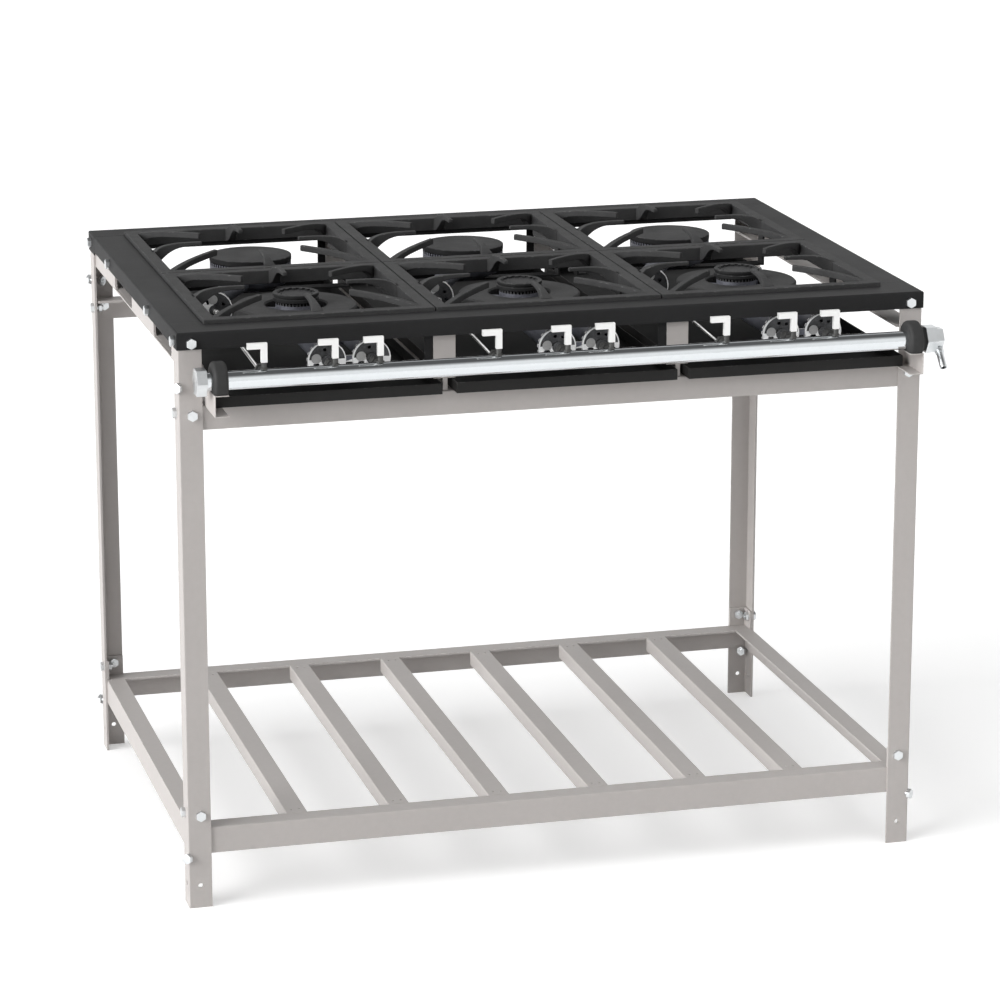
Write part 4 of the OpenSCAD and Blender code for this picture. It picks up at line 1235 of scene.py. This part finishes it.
# Shelf slats: one angle bar with its fixing holes, repeated across the shelf
def makeSlatTree():
    tree, start, end = geoTree(
        "slatRow",
        [("Slat", "Object"), ("Count", "Int"), ("Pitch", "Float"), ("Finish", "Material")],
    )
    step = addNode(tree, "ShaderNodeCombineXYZ", None, {"X": start.outputs["Pitch"]})
    line = addNode(
        tree,
        "GeometryNodeMeshLine",
        {"mode": "OFFSET"},
        {"Count": start.outputs["Count"], "Offset": step.outputs[0]},
    )
    bars = repeated(tree, start.outputs["Slat"], line.outputs[0])
    endTree(tree, bars, start.outputs["Finish"], end)
    return tree


slat = {"edge": 0.5, "leastGap": 40}


def makeSlats():
    # the first bar of the CAD row is the pattern
    mesh = cadCopy("shelf_slats", slat["edge"])
    xs = sorted({round(v.co.x / mm, 1) for v in mesh.vertices})
    gaps = [(a, b) for a, b in zip(xs, xs[1:]) if b - a > slat["leastGap"]]
    starts = [xs[0]] + [b for _, b in gaps]
    bm = bmesh.new()
    bm.from_mesh(mesh)
    rest = [v for v in bm.verts if v.co.x / mm > gaps[0][0] + 1]
    bmesh.ops.delete(bm, geom=rest, context="VERTS")
    made = runTree(
        makeSlatTree(),
        bpy.data.meshes.new("slats"),
        {
            "Slat": itemObject("slat", bm),
            "Count": len(starts),
            "Pitch": (starts[-1] - starts[0]) / (len(starts) - 1) * mm,
            "Finish": materials["greyPaint"],
        },
    )
    addPiece(made, "shelf_slats")
    print("slats made:", len(starts))


makeSlats()

# How square to a direction a face is that counts as facing it, fully or in the main
facing = {"full": 0.7, "main": 0.5}

# Air shutters: dark face in the upper half, bright rim, lower half and boss; the rim and lower
# half are near-white zinc as a painted highlight
shutter = {
    "edge": 0.4,
    "faceDepth": 2.2,
    "bossDepth": 0.6,
    "levelNear": 0.2,
    "hub": 7.4,
    "rimInside": 22.5,
}


def makeShutter(node):
    mesh = cadCopy(node, shutter["edge"])
    middle, low, _ = sizeOf(node)

    def away(spot):
        return math.hypot(spot.x - middle.x, spot.z - middle.z)

    def isHole(spot, normal):
        return abs(normal.y) < facing["main"] and away(spot) < shutter["rimInside"]

    def isLevel(spot, normal, depth):
        near = abs(spot.y - low.y - depth) < shutter["levelNear"]
        return near and normal.y < -facing["full"]

    def isFace(spot, normal):
        return isLevel(spot, normal, shutter["faceDepth"])

    def isHub(spot, normal):
        return normal.y < -facing["main"] and away(spot) < shutter["hub"]

    def isBoss(spot, normal):
        return isLevel(spot, normal, shutter["bossDepth"])

    parts = [
        # the holes' walls are painted near black as painted shade
        ("portSoot", isHole),
        ("shutterFace", isFace),
        ("shutterFace", isHub),
        ("shutterBoss", isBoss),
    ]
    paintFaces(mesh, "zincShutter", parts)
    addPiece(mesh, node)


for column in columns:
    for way in ways:
        makeShutter(f"shutter_{column}_{way}")
print("shutters made")

# Drip trays: the inside is painted darker than the front, as painted shade
tray = {"edge": 0.3, "skin": 0.7}


def makeTray(node):
    mesh = cadCopy(node, tray["edge"])
    _, low, high = sizeOf(node)
    skin = tray["skin"]

    def isInside(spot, normal):
        return (
            low.x + skin < spot.x < high.x - skin
            and low.y + skin < spot.y < high.y - skin
            and spot.z > low.z + skin
        )

    paintFaces(mesh, "trayEnamel", [("trayInside", isInside)])
    addPiece(mesh, node)


for column in columns:
    makeTray(f"tray_{column}")
print("trays made")

# Caps: cast tops, sides painted darker as painted shade
cap = {"edge": 0.3, "sideTilt": 0.4}


def makeCap(node):
    mesh = cadCopy(node, cap["edge"])
    paintFaces(
        mesh, "capIron", [("capSoot", lambda spot, normal: normal.z < cap["sideTilt"])]
    )
    addPiece(mesh, node)


for column in columns:
    for row in rows:
        makeCap(f"cap_{row}_{column}")
print("caps made")

# Burner bodies: blue-grey castings; under the caps the flame ports are painted near black as
# painted shade, darker teeth between them at the front, flange edges behind the shutters a
# painted highlight; a front burner's ring has the grates' dark iron on top
burner = {
    "edge": 0.35,
    "portDepth": 2.4,
    "portDeeper": 1.4,
    "rim": 22.0,
    "rearTop": 744.0,
    "rearRadius": 55.5,
    "frontTop": 750.0,
    "frontRadius": 26.5,
    "ringHole": 40.0,
    "ringTop": 745.0,
    "ringDepth": 20.0,
    "flange": 22.4,
    "flangePlace": 1.8,
    "flangeHalf": 2.2,
    "flangeReach": 27,
    # how near a level or a radius counts as on it
    "near": 0.5,
    "floorNear": 0.45,
    "floorReach": 0.6,
    "hair": 0.05,
}


def nearest(spot, centres):
    # the closest upright axis, and how far away it is
    centre = min(centres, key=lambda c: math.hypot(spot.x - c.x, spot.y - c.y))
    return centre, math.hypot(spot.x - centre.x, spot.y - centre.y)


def deepenPorts(mesh, row, centres):
    # lowers the floors of the flame ports, which are cut in an upright wall
    floor = burner[row + "Top"] - burner["portDepth"]
    reach = burner[row + "Radius"] + burner["floorReach"]
    for v in mesh.vertices:
        spot = v.co / mm
        if abs(spot.z - floor) > burner["floorNear"]:
            continue
        if nearest(spot, centres)[1] < reach:
            v.co.z -= burner["portDeeper"] * mm


def cutFaces(mesh, height):
    # parts the faces at one level, so that each side can take its own finish
    bm = bmesh.new()
    bm.from_mesh(mesh)
    bmesh.ops.bisect_plane(
        bm,
        geom=bm.verts[:] + bm.edges[:] + bm.faces[:],
        plane_co=(0, 0, height * mm),
        plane_no=(0, 0, 1),
    )
    bm.to_mesh(mesh)
    bm.free()


def burnerTests(row, centres, floor):
    # tests for the teeth between the ports, the port walls, the rim's outside and the ring
    radius = burner[row + "Radius"]
    near = burner["near"]
    portLow = floor - burner["hair"]
    rimLow = burner[row + "Top"] - burner["rim"] - near
    ringLow = burner["ringTop"] - burner["ringDepth"] - near

    def outward(spot, normal):
        centre, away = nearest(spot, centres)
        line = Vector((spot.x - centre.x, spot.y - centre.y, 0))
        return abs(away - radius) < near and line.normalized().dot(normal) > facing["full"]

    def isTooth(spot, normal):
        return spot.z > portLow and outward(spot, normal)

    def isPort(spot, normal):
        return spot.z > portLow and nearest(spot, centres)[1] < radius + near

    def isRim(spot, normal):
        return spot.z > rimLow and outward(spot, normal)

    def isRing(spot, normal):
        return spot.z > ringLow and nearest(spot, centres)[1] > burner["ringHole"] - 1

    return isTooth, isPort, isRim, isRing


def flangeTest(rowWays):
    # test for the toothed edge of the flanges behind the shutters
    backs = []
    for column in columns:
        for way in rowWays:
            middle, _, high = sizeOf(f"shutter_{column}_{way}")
            backs.append((middle.x, high.y, middle.z))

    def isFlange(spot, normal):
        for x, y, z in backs:
            behind = abs(spot.y - y - burner["flangePlace"]) < burner["flangeHalf"]
            if behind and abs(spot.x - x) < burner["flangeReach"]:
                return math.hypot(spot.x - x, spot.z - z) > burner["flange"]
        return False

    return isFlange


def makeBurners():
    for row in rows:
        centres = [sizeOf(f"cap_{row}_{column}")[0] for column in columns]
        floor = burner[row + "Top"] - burner["portDepth"] - burner["portDeeper"]
        mesh = cadCopy(f"{row}_burner_bodies", burner["edge"], 1)
        deepenPorts(mesh, row, centres)
        cutFaces(mesh, floor)
        isTooth, isPort, isRim, isRing = burnerTests(row, centres, floor)
        rear = row == "rear"
        parts = [
            ("rimIron" if rear else "toothIron", isTooth),
            ("portSoot", isPort),
            ("rimIron", isRim),
            # the toothed flange edges take the near-white zinc as a painted highlight
            ("zincShutter", flangeTest(ways[:1] if rear else ways[1:])),
        ]
        if not rear:
            parts.append(("castGrate", isRing))
        paintFaces(mesh, "burnerIron", parts)
        addPiece(mesh, f"{row}_burner_bodies")
    print("burner bodies made")


makeBurners()

# Gas valves: dark necks and bodies, and polished injector tubes behind them
valve = {"edge": 0.3, "bodyEnd": 36.0}


def makeValves():
    mesh = cadCopy("gas_valves", valve["edge"], 1)
    pipe, _, _ = sizeOf("manifold_pipe")

    def isBody(spot, normal):
        return spot.y < pipe.y + valve["bodyEnd"]

    paintFaces(mesh, "valveNickel", [("neckBrass", isBody)])
    addPiece(mesh, "gas_valves")
    print("valves made")


makeValves()

for item in items:
    bpy.data.objects.remove(item)
